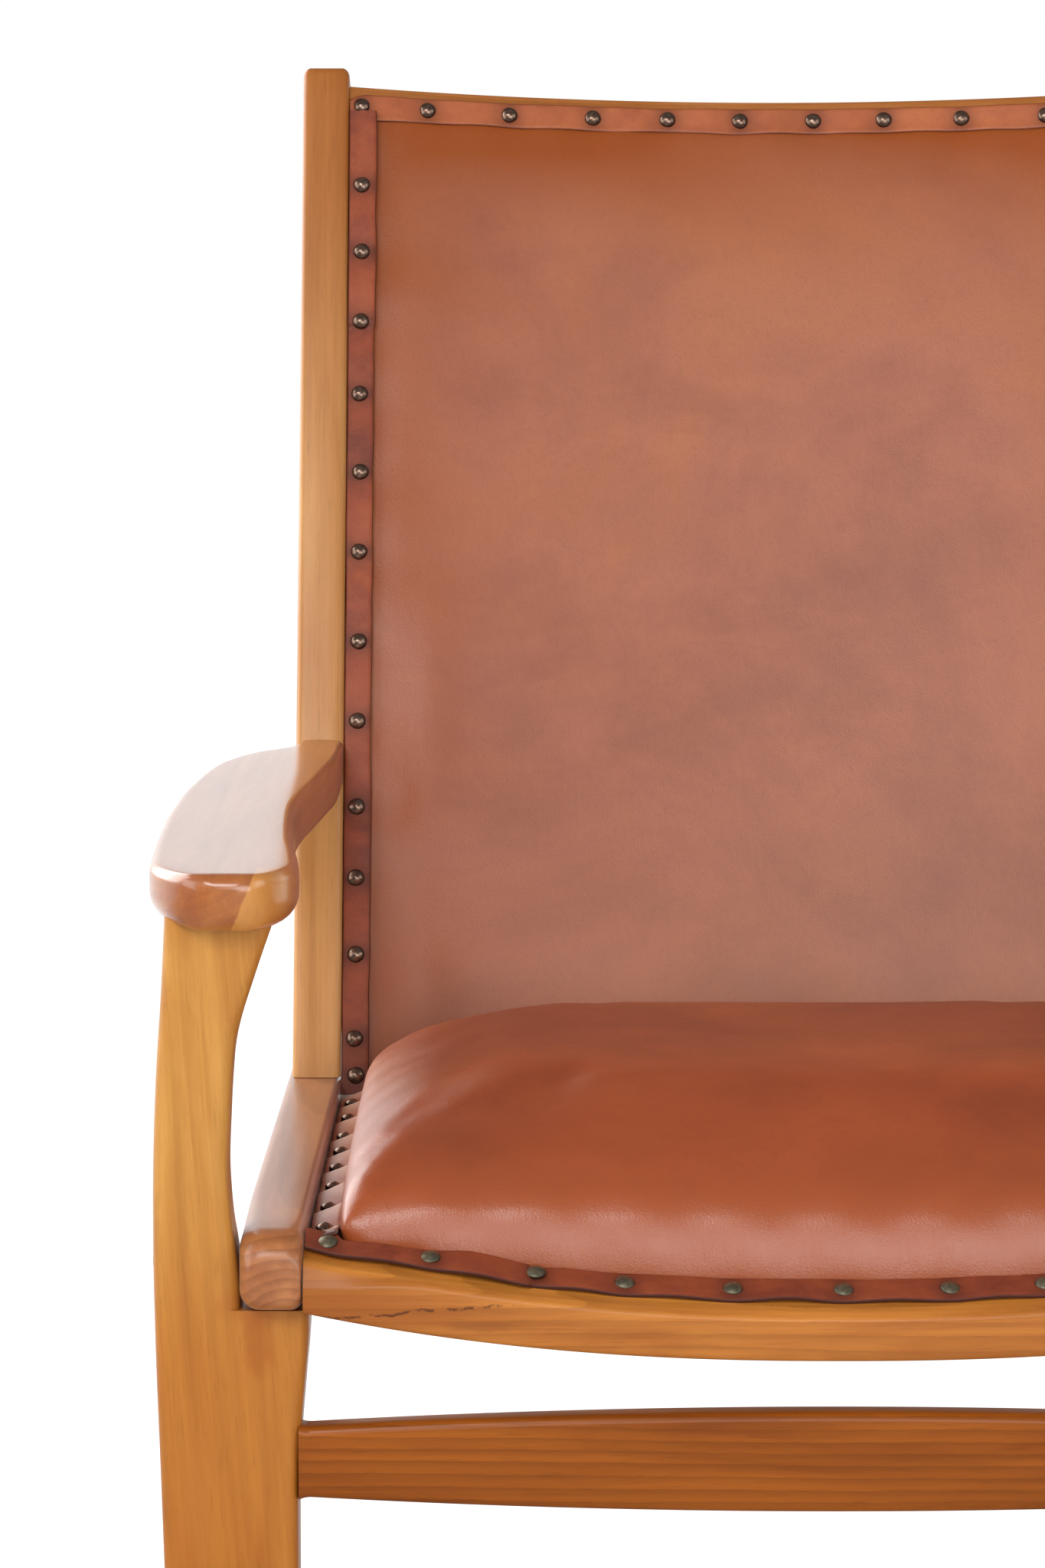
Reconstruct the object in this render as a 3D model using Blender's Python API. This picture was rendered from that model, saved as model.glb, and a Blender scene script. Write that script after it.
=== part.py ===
"""Teak armchair with a nailed leather seat and back.

Frame: X to the right, Y to the back, Z up, in metres. The chair faces -Y and stands on Z = 0,
with the origin in the middle of its outline on the floor.
"""
import math

import bmesh
import bpy
from mathutils import Matrix, Vector

# Overall sizes
SEAT_HEIGHT = 0.446
SEAT_SLOPE = math.radians(1.8)
RECLINE = math.radians(20.0)
CLEARANCE = 0.0003

# Side rails, measured in the sloping seat plane from their front ends
RAIL_SPACING = 0.498
RAIL_WIDTH = 0.030
RAIL_HEIGHT = 0.038
RAIL_LENGTH = 0.512
RAIL_SETBACK = 0.006
RAIL_ROUND = 0.007
RAIL_NOSE = 0.012
RAIL_NOSE_DRAW = 0.6

# Back posts, measured along their front face
POST_SETBACK = 0.060
POST_PLACE = RAIL_LENGTH - POST_SETBACK
POST_WIDTH = 0.027
POST_DEPTH = 0.033
POST_LENGTH = 0.600
POST_ROUND = 0.005
POST_SPARE = 0.045

# Arms
ARM_HEIGHT = 0.614
ARM_THICKNESS = 0.027
ARM_TOP_ROUND = 0.005
ARM_LOW_ROUND = 0.017
ARM_NOSE = 0.016
ARM_NOSE_DRAW = 0.92
ARM_NOSE_SQUEEZE = 0.8
ARM_BODY_START = 0.040
ARM_SECTIONS = 15
# Distance behind the tip, then how far the outer and the inner edge lie outside the rail's outer face
ARM_EDGES = (
    (0.000, 0.0385, -0.0275),
    (0.040, 0.0415, -0.0280),
    (0.080, 0.0435, -0.0255),
    (0.132, 0.0453, -0.0212),
    (0.215, 0.0468, -0.0175),
    (0.260, 0.0463, -0.0178),
    (0.305, 0.0454, -0.0215),
    (0.350, 0.0428, -0.0262),
    (0.4015, 0.0385, -0.0280),
    (0.4357, 0.0328, -0.0285),
    (0.4815, 0.0170, -0.0290),
    (0.5067, -0.0010, -0.0293),
    (0.535, -0.0060, -0.0295),
)

# Front legs
LEG_SETBACK = 0.021
LEG_THICKNESS = 0.034
LEG_ROUND = 0.0055
LEG_BASE = 0.004
LEG_NOTCH_TOP = 0.062
LEG_COPE = 0.016
# Height, then how far the outer and the inner edge lie outside the rail's outer face.
# The heights are drawn for a rail's top and a leg's top at the two drawn heights.
LEG_DRAWN_HEIGHTS = (0.446, 0.603)
LEG_EDGES = (
    (0.000, 0.0285, -0.0190),
    (0.120, 0.0325, -0.0225),
    (0.240, 0.0355, -0.0262),
    (0.330, 0.0385, -0.0270),
    (0.370, 0.0400, -0.0300),
    (0.395, 0.0407, -0.0322),
    (0.412, 0.0411, -0.0322),
    (0.430, 0.0413, -0.0130),
    (0.450, 0.0414, 0.0012),
    (0.475, 0.0412, 0.0034),
    (0.505, 0.0402, 0.0037),
    (0.535, 0.0385, 0.0000),
    (0.560, 0.0370, -0.0080),
    (0.585, 0.0356, -0.0180),
    (0.603, 0.0350, -0.0220),
)

# Rear legs: drop below the rail, then how far out, how far back and how deep the leg is there
REAR_LEG_WIDTH = 0.030
REAR_LEG_ROUND = 0.005
REAR_LEG_SETBACK = 0.050
REAR_LEG_PLACE = RAIL_LENGTH - REAR_LEG_SETBACK
REAR_LEG_SPARE = 0.010
REAR_LEG_SECTIONS = 14
REAR_LEG_PATH = (
    (0.000, 0.000, 0.000, 0.058),
    (0.035, 0.006, 0.006, 0.053),
    (0.095, 0.021, 0.025, 0.048),
    (0.190, 0.032, 0.074, 0.043),
    (0.290, 0.0375, 0.132, 0.038),
    (0.395, 0.041, 0.196, 0.034),
)

# Cross rails and stretchers
FRONT_RAIL_FACE = 0.002
FRONT_RAIL_BACK = 0.032
FRONT_RAIL_TRIM_LINE = 0.013
FRONT_RAIL_FACE_TOP = -0.0126
FRONT_RAIL_TRIM_TOP = -0.0092
FRONT_RAIL_TOP = -0.0010
FRONT_RAIL_LIFT = 0.0005
FRONT_RAIL_CHAMFER = 0.004
FRONT_RAIL_EDGE = (0.0035, 0.0022)
SEAT_DIP = 0.026
RAIL_BELLY = 0.0225
DIP_POWER = 2.3
REAR_RAIL_THICKNESS = 0.024
REAR_RAIL_HEIGHT = 0.026
SEAT_FRAME_REACH = 0.020
SEAT_FRAME_END = POST_PLACE + SEAT_FRAME_REACH
STRETCHER_DROP = 0.112
STRETCHER_HEIGHT = SEAT_HEIGHT - STRETCHER_DROP
REAR_STRETCHER_DROP = 0.128
REAR_STRETCHER_HEIGHT = SEAT_HEIGHT - REAR_STRETCHER_DROP
STRETCHER_THICKNESS = 0.022
STRETCHER_END = 0.034
STRETCHER_MIDDLE = 0.0485
STRETCHER_ROUND = 0.004
STRETCHER_SETBACK = 0.0005
BACK_RAIL_THICKNESS = 0.020
BACK_RAIL_ROUND = 0.003
TOP_RAIL_DROP = 0.0100
TOP_RAIL_HEIGHT = 0.062
LOWER_RAIL_PLACE = 0.030
LOWER_RAIL_HEIGHT = 0.050
BACK_BEND = 0.026
CROSS_SECTIONS = 17
STRETCHER_SECTIONS = 13

# Joinery: tongues with their roots in the piece that they belong to
TENON_LENGTH = 0.016
TENON_THICKNESS = 0.010
TENON_ROOT = 0.012
FOOT_TENON_SHOULDER = 0.009
FOOT_TENON_DEPTH = 0.020
FOOT_TENON_ROOT = 0.035
ARM_TENON_PLACE = 0.008
ARM_TENON_WIDTH = 0.026
REAR_LEG_TENON = (-0.020, 0.008)
REAR_LEG_TENON_DEPTH = 0.010
FRONT_TENON_PLACE = 0.014
FRONT_TENON_HEIGHTS = (-0.031, -0.013)
REAR_TENON_LENGTH = 0.0065
REAR_TENON_SHOULDER = 0.007
REAR_TENON_HEIGHTS = (-0.034, -0.024)
STRETCHER_SHOULDER = 0.006
BACK_TENON_SHOULDER = 0.010
PEG_RADIUS = 0.005
PEG_LENGTH = 0.050
PEG_SINK = 0.0002
PEG_SPARE = 0.002
DOWEL_LENGTH = 0.044
DOWEL_SPARE = 0.001
GLIDE_RADIUS = 0.011

# How far the cutting shapes reach past what they cut
CUT_SPARE = 0.02
CUT_REACH = 0.10

# Seat and back upholstery
CLEAT_WIDTH = 0.0154
CLEAT_HEIGHT = 0.0120
BOARD_THICKNESS = 0.009
BOARD_DROP = 0.0115
SEAT_CROWN = 0.053
CUSHION_RIM = 0.0060
CUSHION_GAP = 0.008
CUSHION_BOW = 0.9
CUSHION_FULLNESS = (6, 5)
CROWN_POWER = 0.6
BATTEN_DEPTH = 0.018
BACK_RECESS = 0.0054
BACK_CROWN = 0.0080
BACK_FULLNESS = (6, 8)
BACK_PAD_START = 0.016
BACK_BOARD_THICKNESS = 0.004
LINING_THICKNESS = 0.002

# Leather trim and its nails
TRIM_WIDTH = 0.0152
FRONT_TRIM_WIDTH = 0.0165
TRIM_THICKNESS = 0.0024
TOP_TRIM_DROP = 0.0060
TRIM_SETBACK = 0.001
POST_TRIM_START = 0.004
SEAT_TRIM_GAP = 0.020

# Nail heads: a profile of heights and widths, and the rows' places and pitches
NAIL_RADIUS = 0.0047
NAIL_SIDES = 8
NAIL_PROFILE = ((-0.0008, 1.0), (0.0, 1.0), (0.0015, 0.80), (0.0026, 0.38))
NAIL_EDGE = 0.009
TOP_NAIL_PITCH = 0.044
FRONT_NAIL_PITCH = 0.048
POST_NAIL_PITCH = 0.0458
POST_NAIL_START = 0.019
POST_NAIL_GAP = 0.042
SEAT_NAIL_PITCH = 0.0505
SEAT_NAIL_START = 0.026
SEAT_NAIL_GAP = 0.012

# Places worked out from the sizes. The top rail's middle is the chair's rearmost part.
TOP_RAIL_TOP = POST_LENGTH - TOP_RAIL_DROP
TOP_RAIL_BACK = BACK_RECESS + CLEARANCE + BACK_BEND + BACK_RAIL_THICKNESS
DEPTH = (
    RAIL_SETBACK
    + POST_PLACE * math.cos(SEAT_SLOPE)
    + TOP_RAIL_BACK * math.cos(RECLINE)
    + (TOP_RAIL_TOP - BACK_RAIL_ROUND) * math.sin(RECLINE)
)
FRONT_Y = -DEPTH / 2
RAIL_INNER = RAIL_SPACING / 2
RAIL_OUTER = RAIL_INNER + RAIL_WIDTH
POST_OUTER = RAIL_INNER + POST_WIDTH
BATTEN_INNER = RAIL_INNER - CLEARANCE - CLEAT_WIDTH
SEAT_ORIGIN = Vector((0.0, FRONT_Y + RAIL_SETBACK, SEAT_HEIGHT))
POST_ORIGIN = Vector((
    0.0,
    SEAT_ORIGIN.y + POST_PLACE * math.cos(SEAT_SLOPE),
    SEAT_ORIGIN.z - POST_PLACE * math.sin(SEAT_SLOPE),
))
LEG_TOP = ARM_HEIGHT - ARM_THICKNESS + LEG_COPE
TRIM_TOP = TOP_RAIL_TOP - TOP_TRIM_DROP
POST_TRIM_TOP = TRIM_TOP - TRIM_WIDTH - CLEARANCE
SIDES = ((-1, "left"), (1, "right"))
SMOOTH_ANGLE = math.radians(35)
CORNER_SPARE = 0.0002

TEAK = (0.56, 0.29, 0.09)
TEAK_DARK = (0.42, 0.17, 0.05)
LEATHER = (0.42, 0.13, 0.055)
LEATHER_TRIM = (0.26, 0.07, 0.035)
PLYWOOD = (0.60, 0.45, 0.28)
LINING = (0.10, 0.06, 0.04)
GLIDE = (0.05, 0.045, 0.04)


def clear_scene():
    for item in list(bpy.data.objects):
        bpy.data.objects.remove(item, do_unlink=True)


def make_material(name, color, roughness, metallic=0.0):
    material = bpy.data.materials.new(name)
    material.use_nodes = True
    shader = material.node_tree.nodes["Principled BSDF"]
    shader.inputs["Base Color"].default_value = (*color, 1.0)
    shader.inputs["Roughness"].default_value = roughness
    shader.inputs["Metallic"].default_value = metallic
    return material


def make_object(name, bm, parent=None, look=None):
    """Turn a bmesh into an object under a parent empty, with a material of its own."""
    bmesh.ops.recalc_face_normals(bm, faces=bm.faces)
    mesh = bpy.data.meshes.new(name)
    bm.to_mesh(mesh)
    bm.free()
    item = bpy.data.objects.new(name, mesh)
    bpy.context.scene.collection.objects.link(item)
    item.parent = parent
    if look:
        mesh.materials.append(make_material(name, *look))
        mesh.shade_smooth()
        mesh.set_sharp_from_angle(angle=SMOOTH_ANGLE)
    return item


def make_cutter(name, bm, parent=None):
    item = make_object(name, bm, parent)
    item.hide_render = True
    item.display_type = "WIRE"
    return item


def combine(item, operand, operation):
    modifier = item.modifiers.new(f"{operation.lower()}_{operand.name}", "BOOLEAN")
    modifier.operation = operation
    modifier.solver = "EXACT"
    modifier.object = operand


def smooth_value(rows, place, column):
    """Read one column of a table of rows on a smooth curve through its first column."""
    last = len(rows) - 1
    index = max(i for i in range(last) if rows[i][0] <= place or i == 0)
    start = rows[index]
    end = rows[index + 1]
    span = end[0] - start[0]
    t = min(max((place - start[0]) / span, 0.0), 1.0)

    def slope(i):
        low = rows[max(i - 1, 0)]
        high = rows[min(i + 1, last)]
        return (high[column] - low[column]) / (high[0] - low[0])

    a = start[column]
    b = end[column]
    rise_a = slope(index) * span
    rise_b = slope(index + 1) * span
    return (
        (2 * t**3 - 3 * t**2 + 1) * a
        + (t**3 - 2 * t**2 + t) * rise_a
        + (3 * t**2 - 2 * t**3) * b
        + (t**3 - t**2) * rise_b
    )


def spread(start, end, count):
    return [start + (end - start) * i / (count - 1) for i in range(count)]


def round_box(a0, a1, b0, b1, radii, steps=2):
    """Corners of a box outline, rounded by four radii from (a0, b0) round to (a0, b1)."""
    limit = min(a1 - a0, b1 - b0) / 2 - CORNER_SPARE
    corners = ((a0, b0, 1, 1, 180), (a1, b0, -1, 1, 270), (a1, b1, -1, -1, 0), (a0, b1, 1, -1, 90))
    points = []
    for (a, b, toward_a, toward_b, start), radius in zip(corners, radii):
        radius = min(radius, limit)
        for step in range(steps + 1):
            angle = math.radians(start + 90 * step / steps)
            points.append((
                a + radius * (toward_a + math.cos(angle)),
                b + radius * (toward_b + math.sin(angle)),
            ))
    return points


def loft(rings):
    """Close a tube of quads through rings of points, with a face on each end."""
    bm = bmesh.new()
    rows = [[bm.verts.new(point) for point in ring] for ring in rings]
    count = len(rows[0])
    for low, high in zip(rows, rows[1:]):
        for i in range(count):
            j = (i + 1) % count
            bm.faces.new((low[i], low[j], high[j], high[i]))
    bm.faces.new(rows[0])
    bm.faces.new(rows[-1])
    return bm


def box(low, high):
    bm = bmesh.new()
    bmesh.ops.create_cube(bm, size=1.0)
    size = Vector(high) - Vector(low)
    middle = (Vector(high) + Vector(low)) / 2
    bmesh.ops.scale(bm, vec=size, verts=bm.verts)
    bmesh.ops.translate(bm, vec=middle, verts=bm.verts)
    return bm


def sided_box(side, inner, outer, y0, y1, z0, z1):
    """A box on one side of the chair, given by its distances from the middle."""
    xs = sorted((side * inner, side * outer))
    return box((xs[0], y0, z0), (xs[1], y1, z1))


def rod(start, end, radius, sides=12):
    bm = bmesh.new()
    along = Vector(end) - Vector(start)
    turn = along.to_track_quat("Z", "Y").to_matrix().to_4x4()
    place = Matrix.Translation((Vector(start) + Vector(end)) / 2) @ turn
    bmesh.ops.create_cone(
        bm, cap_ends=True, segments=sides, radius1=radius, radius2=radius, depth=along.length, matrix=place
    )
    return bm


def nose_places(length, angles):
    """Distances behind a rounded tip where its sections lie."""
    return [length * (1 - math.cos(math.radians(angle))) for angle in angles]


def nose_shrink(place, length):
    """How far a rounded tip is drawn in at a distance behind it."""
    if place >= length:
        return 0.0
    return length * (1 - math.sqrt(1 - (1 - place / length) ** 2))


def dip(x, depth):
    """How far a saddle-shaped rail has sunk at a distance from the middle."""
    reach = min(abs(x) / RAIL_INNER, 1.0)
    return depth * (1 - reach**DIP_POWER)


def bend(x):
    """How far the curved back lies behind the posts at a distance from the middle."""
    reach = min(abs(x) / RAIL_INNER, 1.0)
    return BACK_BEND * (1 - reach**2)


def make_frames():
    """Two empties: the sloping seat plane at the rails' front ends, and the posts' front face."""
    seat = bpy.data.objects.new("seat_plane", None)
    back = bpy.data.objects.new("back_plane", None)
    for empty, origin, tilt in ((seat, SEAT_ORIGIN, -SEAT_SLOPE), (back, POST_ORIGIN, -RECLINE)):
        bpy.context.scene.collection.objects.link(empty)
        empty.location = origin
        empty.rotation_euler = (tilt, 0.0, 0.0)
    return seat, back


def arm_rings(side, grow):
    """Sections of an arm across its length, swollen by grow for the cutter that copes the leg."""
    low = ARM_HEIGHT - ARM_THICKNESS - grow
    high = ARM_HEIGHT + grow
    rings = []
    body = spread(ARM_BODY_START, ARM_EDGES[-1][0], ARM_SECTIONS)
    for place in nose_places(ARM_NOSE, (0, 20, 40, 65, 90)) + body:
        shrink = nose_shrink(place, ARM_NOSE) * ARM_NOSE_DRAW
        outer = RAIL_OUTER + smooth_value(ARM_EDGES, place, 1) - shrink + grow
        inner = RAIL_OUTER + smooth_value(ARM_EDGES, place, 2) + shrink - grow
        squeeze = min(shrink, ARM_LOW_ROUND / 2) * ARM_NOSE_SQUEEZE
        top = min(ARM_TOP_ROUND, (outer - inner) / 5)
        bottom = min(ARM_LOW_ROUND, (outer - inner) / 2.4)
        outline = round_box(inner, outer, low + squeeze, high - squeeze / 2, (bottom, bottom, top, top), 3)
        y = FRONT_Y + place - (grow if place == 0 else 0)
        rings.append([(side * a, y, b) for a, b in outline])
    return rings


def make_side_rail(side, name, seat):
    """A long rail with a rounded nose, mortised for the post, the cross rails and the rear leg."""
    rings = []
    for place in nose_places(RAIL_NOSE, (0, 30, 60, 90)) + spread(RAIL_LENGTH / 5, RAIL_LENGTH, 4):
        shrink = nose_shrink(place, RAIL_NOSE) * RAIL_NOSE_DRAW
        outline = round_box(
            RAIL_INNER + shrink / 3, RAIL_OUTER - shrink, -RAIL_HEIGHT + shrink / 2, -shrink,
            (RAIL_ROUND, RAIL_ROUND, RAIL_ROUND, RAIL_ROUND / 2), 3,
        )
        rings.append([(side * a, place, b) for a, b in outline])
    return make_object(f"side_rail_{name}", loft(rings), seat, (TEAK_DARK, 0.30))


def make_post(side, name, seat, back):
    """A reclined post whose foot is cut to the rail's top and stands in it with a tenon."""
    rings = []
    body = spread(-POST_SPARE, POST_LENGTH - POST_ROUND * 2, 5)
    for place in body + [POST_LENGTH - POST_ROUND / 2, POST_LENGTH]:
        shrink = max(0.0, place - body[-1]) / 3
        outline = round_box(
            RAIL_INNER + shrink, POST_OUTER - shrink, shrink, POST_DEPTH - shrink, (POST_ROUND,) * 4
        )
        rings.append([(side * a, b, place) for a, b in outline])
    post = make_object(f"back_post_{name}", loft(rings), back, (TEAK, 0.35))
    below = sided_box(
        side, RAIL_INNER - CUT_SPARE, POST_OUTER + CUT_SPARE,
        POST_PLACE - CUT_REACH, POST_PLACE + CUT_REACH, -CUT_REACH, CLEARANCE,
    )
    combine(post, make_cutter(f"foot_cut_{name}", below, seat), "DIFFERENCE")
    combine(post, make_cutter(f"foot_tenon_{name}", foot_tenon(side, 0.0), back), "UNION")
    return post


def foot_tenon(side, grow):
    """The tongue under a post's foot that stands in the side rail."""
    middle = RAIL_INNER + POST_WIDTH / 2
    half = TENON_THICKNESS / 2 + grow
    return sided_box(
        side, middle - half, middle + half,
        FOOT_TENON_SHOULDER - grow, POST_DEPTH - FOOT_TENON_SHOULDER + grow,
        -FOOT_TENON_DEPTH - grow, FOOT_TENON_ROOT,
    )


def leg_rows():
    """The table of a front leg's edges, stretched to the rail's and the arm's heights."""
    drawn_rail, drawn_top = LEG_DRAWN_HEIGHTS
    below = SEAT_HEIGHT / drawn_rail
    above = (LEG_TOP - SEAT_HEIGHT) / (drawn_top - drawn_rail)
    rows = []
    for height, outer, inner in LEG_EDGES:
        level = min(height, drawn_rail) * below + max(height - drawn_rail, 0.0) * above
        rows.append((level, outer, inner))
    return rows


def leg_edge(height, column):
    """How far a front leg's edge lies outside the rail's outer face at a height."""
    return smooth_value(leg_rows(), height, column)


def make_front_leg(side, name, seat):
    """A shaped board with a shoulder under the rail, coped at the top to the arm's underside."""
    y0 = FRONT_Y + LEG_SETBACK
    rings = []
    heights = [LEG_BASE] + [row[0] for row in leg_rows()[1:]]
    between = [(a + b) / 2 for a, b in zip(heights, heights[1:])]
    for height in sorted(heights + between):
        outer = RAIL_OUTER + leg_edge(height, 1)
        inner = RAIL_OUTER + leg_edge(height, 2)
        outline = round_box(inner, outer, y0, y0 + LEG_THICKNESS, (LEG_ROUND,) * 4)
        rings.append([(side * a, b, height) for a, b in outline])
    leg = make_object(f"front_leg_{name}", loft(rings), None, (TEAK, 0.33))
    notch = sided_box(
        side, RAIL_INNER - CUT_SPARE, RAIL_OUTER + CLEARANCE,
        -CUT_SPARE, LEG_SETBACK + LEG_THICKNESS + CUT_SPARE, -RAIL_HEIGHT - CLEARANCE, LEG_NOTCH_TOP,
    )
    combine(leg, make_cutter(f"rail_notch_{name}", notch, seat), "DIFFERENCE")
    combine(leg, make_cutter(f"arm_cope_{name}", loft(arm_rings(side, CLEARANCE))), "DIFFERENCE")
    combine(leg, make_cutter(f"arm_tenon_{name}", arm_tenon(side, 0.0)), "UNION")
    return leg


def arm_tenon(side, grow):
    """The tongue on a front leg's top that stands in the arm."""
    middle = RAIL_OUTER + ARM_TENON_PLACE
    half = ARM_TENON_WIDTH / 2 + grow
    y = FRONT_Y + LEG_SETBACK + LEG_THICKNESS / 2
    low = ARM_HEIGHT - ARM_THICKNESS
    return sided_box(
        side, middle - half, middle + half,
        y - TENON_THICKNESS / 2 - grow, y + TENON_THICKNESS / 2 + grow,
        low - TENON_ROOT, low + TENON_LENGTH + grow,
    )


def make_arm(side, name, back):
    arm = make_object(f"arm_{name}", loft(arm_rings(side, 0.0)), None, (TEAK_DARK, 0.25))
    level = (ARM_HEIGHT - POST_ORIGIN.z) / math.cos(RECLINE)
    behind = sided_box(
        side, RAIL_INNER - CUT_SPARE, POST_OUTER + CUT_REACH,
        -CLEARANCE, CUT_REACH, level - CUT_REACH, level + CUT_REACH,
    )
    combine(arm, make_cutter(f"arm_end_cut_{name}", behind, back), "DIFFERENCE")
    combine(arm, make_cutter(f"arm_mortise_{name}", arm_tenon(side, CLEARANCE)), "DIFFERENCE")
    return arm


def dowel_ends(side):
    """The two ends of the dowel that runs square out of a post's face into an arm."""
    rise = ARM_HEIGHT - ARM_THICKNESS / 2 - POST_ORIGIN.z
    y = POST_ORIGIN.y + rise * math.tan(RECLINE)
    x = side * (RAIL_INNER + POST_WIDTH / 2)
    z = ARM_HEIGHT - ARM_THICKNESS / 2
    return Vector((x, y - DOWEL_LENGTH / 2, z)), Vector((x, y + DOWEL_LENGTH / 2, z))


def make_arm_dowel(side, name, arm, post):
    start, end = dowel_ends(side)
    make_object(f"arm_dowel_{name}", rod(start, end, PEG_RADIUS), None, (TEAK, 0.5))
    spare = Vector((0.0, DOWEL_SPARE, 0.0))
    hole = make_cutter(f"dowel_hole_{name}", rod(start - spare, end + spare, PEG_RADIUS + CLEARANCE))
    combine(arm, hole, "DIFFERENCE")
    combine(post, hole, "DIFFERENCE")


def make_leg_peg(side, name, rail, leg):
    """A wooden peg driven from outside through the front leg into the side rail."""
    y = FRONT_Y + LEG_SETBACK + LEG_THICKNESS / 2
    z = SEAT_HEIGHT - RAIL_HEIGHT / 2
    outer = RAIL_OUTER + leg_edge(z, 1)
    start = Vector((side * (outer - PEG_SINK), y, z))
    end = Vector((side * (outer - PEG_LENGTH), y, z))
    make_object(f"leg_peg_{name}", rod(start, end, PEG_RADIUS), None, (TEAK_DARK, 0.4))
    spare = Vector((side * PEG_SPARE, 0.0, 0.0))
    hole = make_cutter(f"peg_hole_{name}", rod(start + spare, end - spare / 4, PEG_RADIUS + CLEARANCE))
    combine(leg, hole, "DIFFERENCE")
    combine(rail, hole, "DIFFERENCE")


def rear_leg_point(drop):
    """Middle of a rear leg at a drop below the rail's underside: out, back, and half its depth."""
    out = RAIL_INNER + RAIL_WIDTH / 2 + smooth_value(REAR_LEG_PATH, drop, 1)
    y = SEAT_ORIGIN.y + REAR_LEG_PLACE + smooth_value(REAR_LEG_PATH, drop, 2)
    return out, y, smooth_value(REAR_LEG_PATH, drop, 3) / 2


def rear_leg_top():
    """Height of the rail's underside over the middle of a rear leg."""
    return SEAT_HEIGHT - RAIL_HEIGHT - REAR_LEG_PLACE * math.tan(SEAT_SLOPE)


def make_rear_leg(side, name, seat):
    """A leg that leaves the rail's underside, splays out and sweeps back to the floor."""
    top = rear_leg_top() + REAR_LEG_SPARE
    rings = []
    for height in spread(LEG_BASE, top, REAR_LEG_SECTIONS):
        drop = max(rear_leg_top() - height, 0.0)
        out, y, half = rear_leg_point(drop)
        outline = round_box(
            out - REAR_LEG_WIDTH / 2, out + REAR_LEG_WIDTH / 2, y - half, y + half, (REAR_LEG_ROUND,) * 4
        )
        rings.append([(side * a, b, height) for a, b in outline])
    leg = make_object(f"rear_leg_{name}", loft(rings), None, (TEAK, 0.35))
    above = sided_box(
        side, RAIL_INNER - CUT_SPARE, RAIL_OUTER + CUT_SPARE,
        REAR_LEG_PLACE - CUT_REACH, REAR_LEG_PLACE + CUT_REACH, -RAIL_HEIGHT - CLEARANCE, CUT_REACH,
    )
    combine(leg, make_cutter(f"rear_top_cut_{name}", above, seat), "DIFFERENCE")
    combine(leg, make_cutter(f"rear_tenon_{name}", rear_tenon(side, 0.0), seat), "UNION")
    return leg


def rear_tenon(side, grow):
    """The tongue on a rear leg's top that stands in the rail's underside."""
    middle = RAIL_INNER + RAIL_WIDTH / 2
    half = TENON_THICKNESS / 2 + grow
    front, rear = REAR_LEG_TENON
    return sided_box(
        side, middle - half, middle + half, REAR_LEG_PLACE + front - grow, REAR_LEG_PLACE + rear + grow,
        -RAIL_HEIGHT - TENON_ROOT, -RAIL_HEIGHT + REAR_LEG_TENON_DEPTH + grow,
    )


def cross_rings(half, count, section):
    """Sections of a piece that spans the chair, made by a function of x."""
    return [[(x, y, z) for y, z in section(x)] for x in spread(-half, half, count)]


def front_rail_section(x):
    low = -RAIL_HEIGHT + FRONT_RAIL_LIFT - dip(x, RAIL_BELLY)
    sunk = dip(x, SEAT_DIP)
    face = FRONT_RAIL_FACE
    back = FRONT_RAIL_BACK
    edge_back, edge_up = FRONT_RAIL_EDGE
    return [
        (face + FRONT_RAIL_CHAMFER, low),
        (face, low + FRONT_RAIL_CHAMFER),
        (face, FRONT_RAIL_FACE_TOP - sunk),
        (face + edge_back, FRONT_RAIL_FACE_TOP + edge_up - sunk),
        (FRONT_RAIL_TRIM_LINE, FRONT_RAIL_TRIM_TOP - sunk),
        (back, FRONT_RAIL_TOP - sunk),
        (back, low + FRONT_RAIL_CHAMFER),
        (back - FRONT_RAIL_CHAMFER, low),
    ]


def make_cross_tenons(name, parent, y0, y1, z0, z1, shoulder, length=TENON_LENGTH):
    """One tongue on each end of a cross rail, and the holes that they stand in."""
    inner = shoulder - TENON_ROOT
    outer = shoulder + length
    tongues = []
    holes = []
    for side, which in SIDES:
        tongue = sided_box(side, inner, outer, y0, y1, z0, z1)
        hole = sided_box(
            side, inner, outer + CLEARANCE,
            y0 - CLEARANCE, y1 + CLEARANCE, z0 - CLEARANCE, z1 + CLEARANCE,
        )
        tongues.append(make_cutter(f"{name}_tenon_{which}", tongue, parent))
        holes.append(make_cutter(f"{name}_mortise_{which}", hole, parent))
    return tongues, holes


def join_cross_piece(piece, tongues, holes, hosts):
    for tongue, hole, host in zip(tongues, holes, hosts):
        combine(piece, tongue, "UNION")
        combine(host, hole, "DIFFERENCE")


def make_front_rail(seat, rails):
    """A saddle-shaped rail whose sloping top carries the leather's front edge."""
    half = RAIL_INNER - CLEARANCE
    bm = loft(cross_rings(half, CROSS_SECTIONS, front_rail_section))
    rail = make_object("front_rail", bm, seat, (TEAK, 0.35))
    tongues, holes = make_cross_tenons(
        "front_rail", seat, FRONT_TENON_PLACE, FRONT_TENON_PLACE + TENON_THICKNESS,
        *FRONT_TENON_HEIGHTS, RAIL_INNER,
    )
    join_cross_piece(rail, tongues, holes, rails)


def board_level(x):
    """Height of the seat board's top in the seat plane."""
    return -BOARD_DROP - dip(x, SEAT_DIP)


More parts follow.
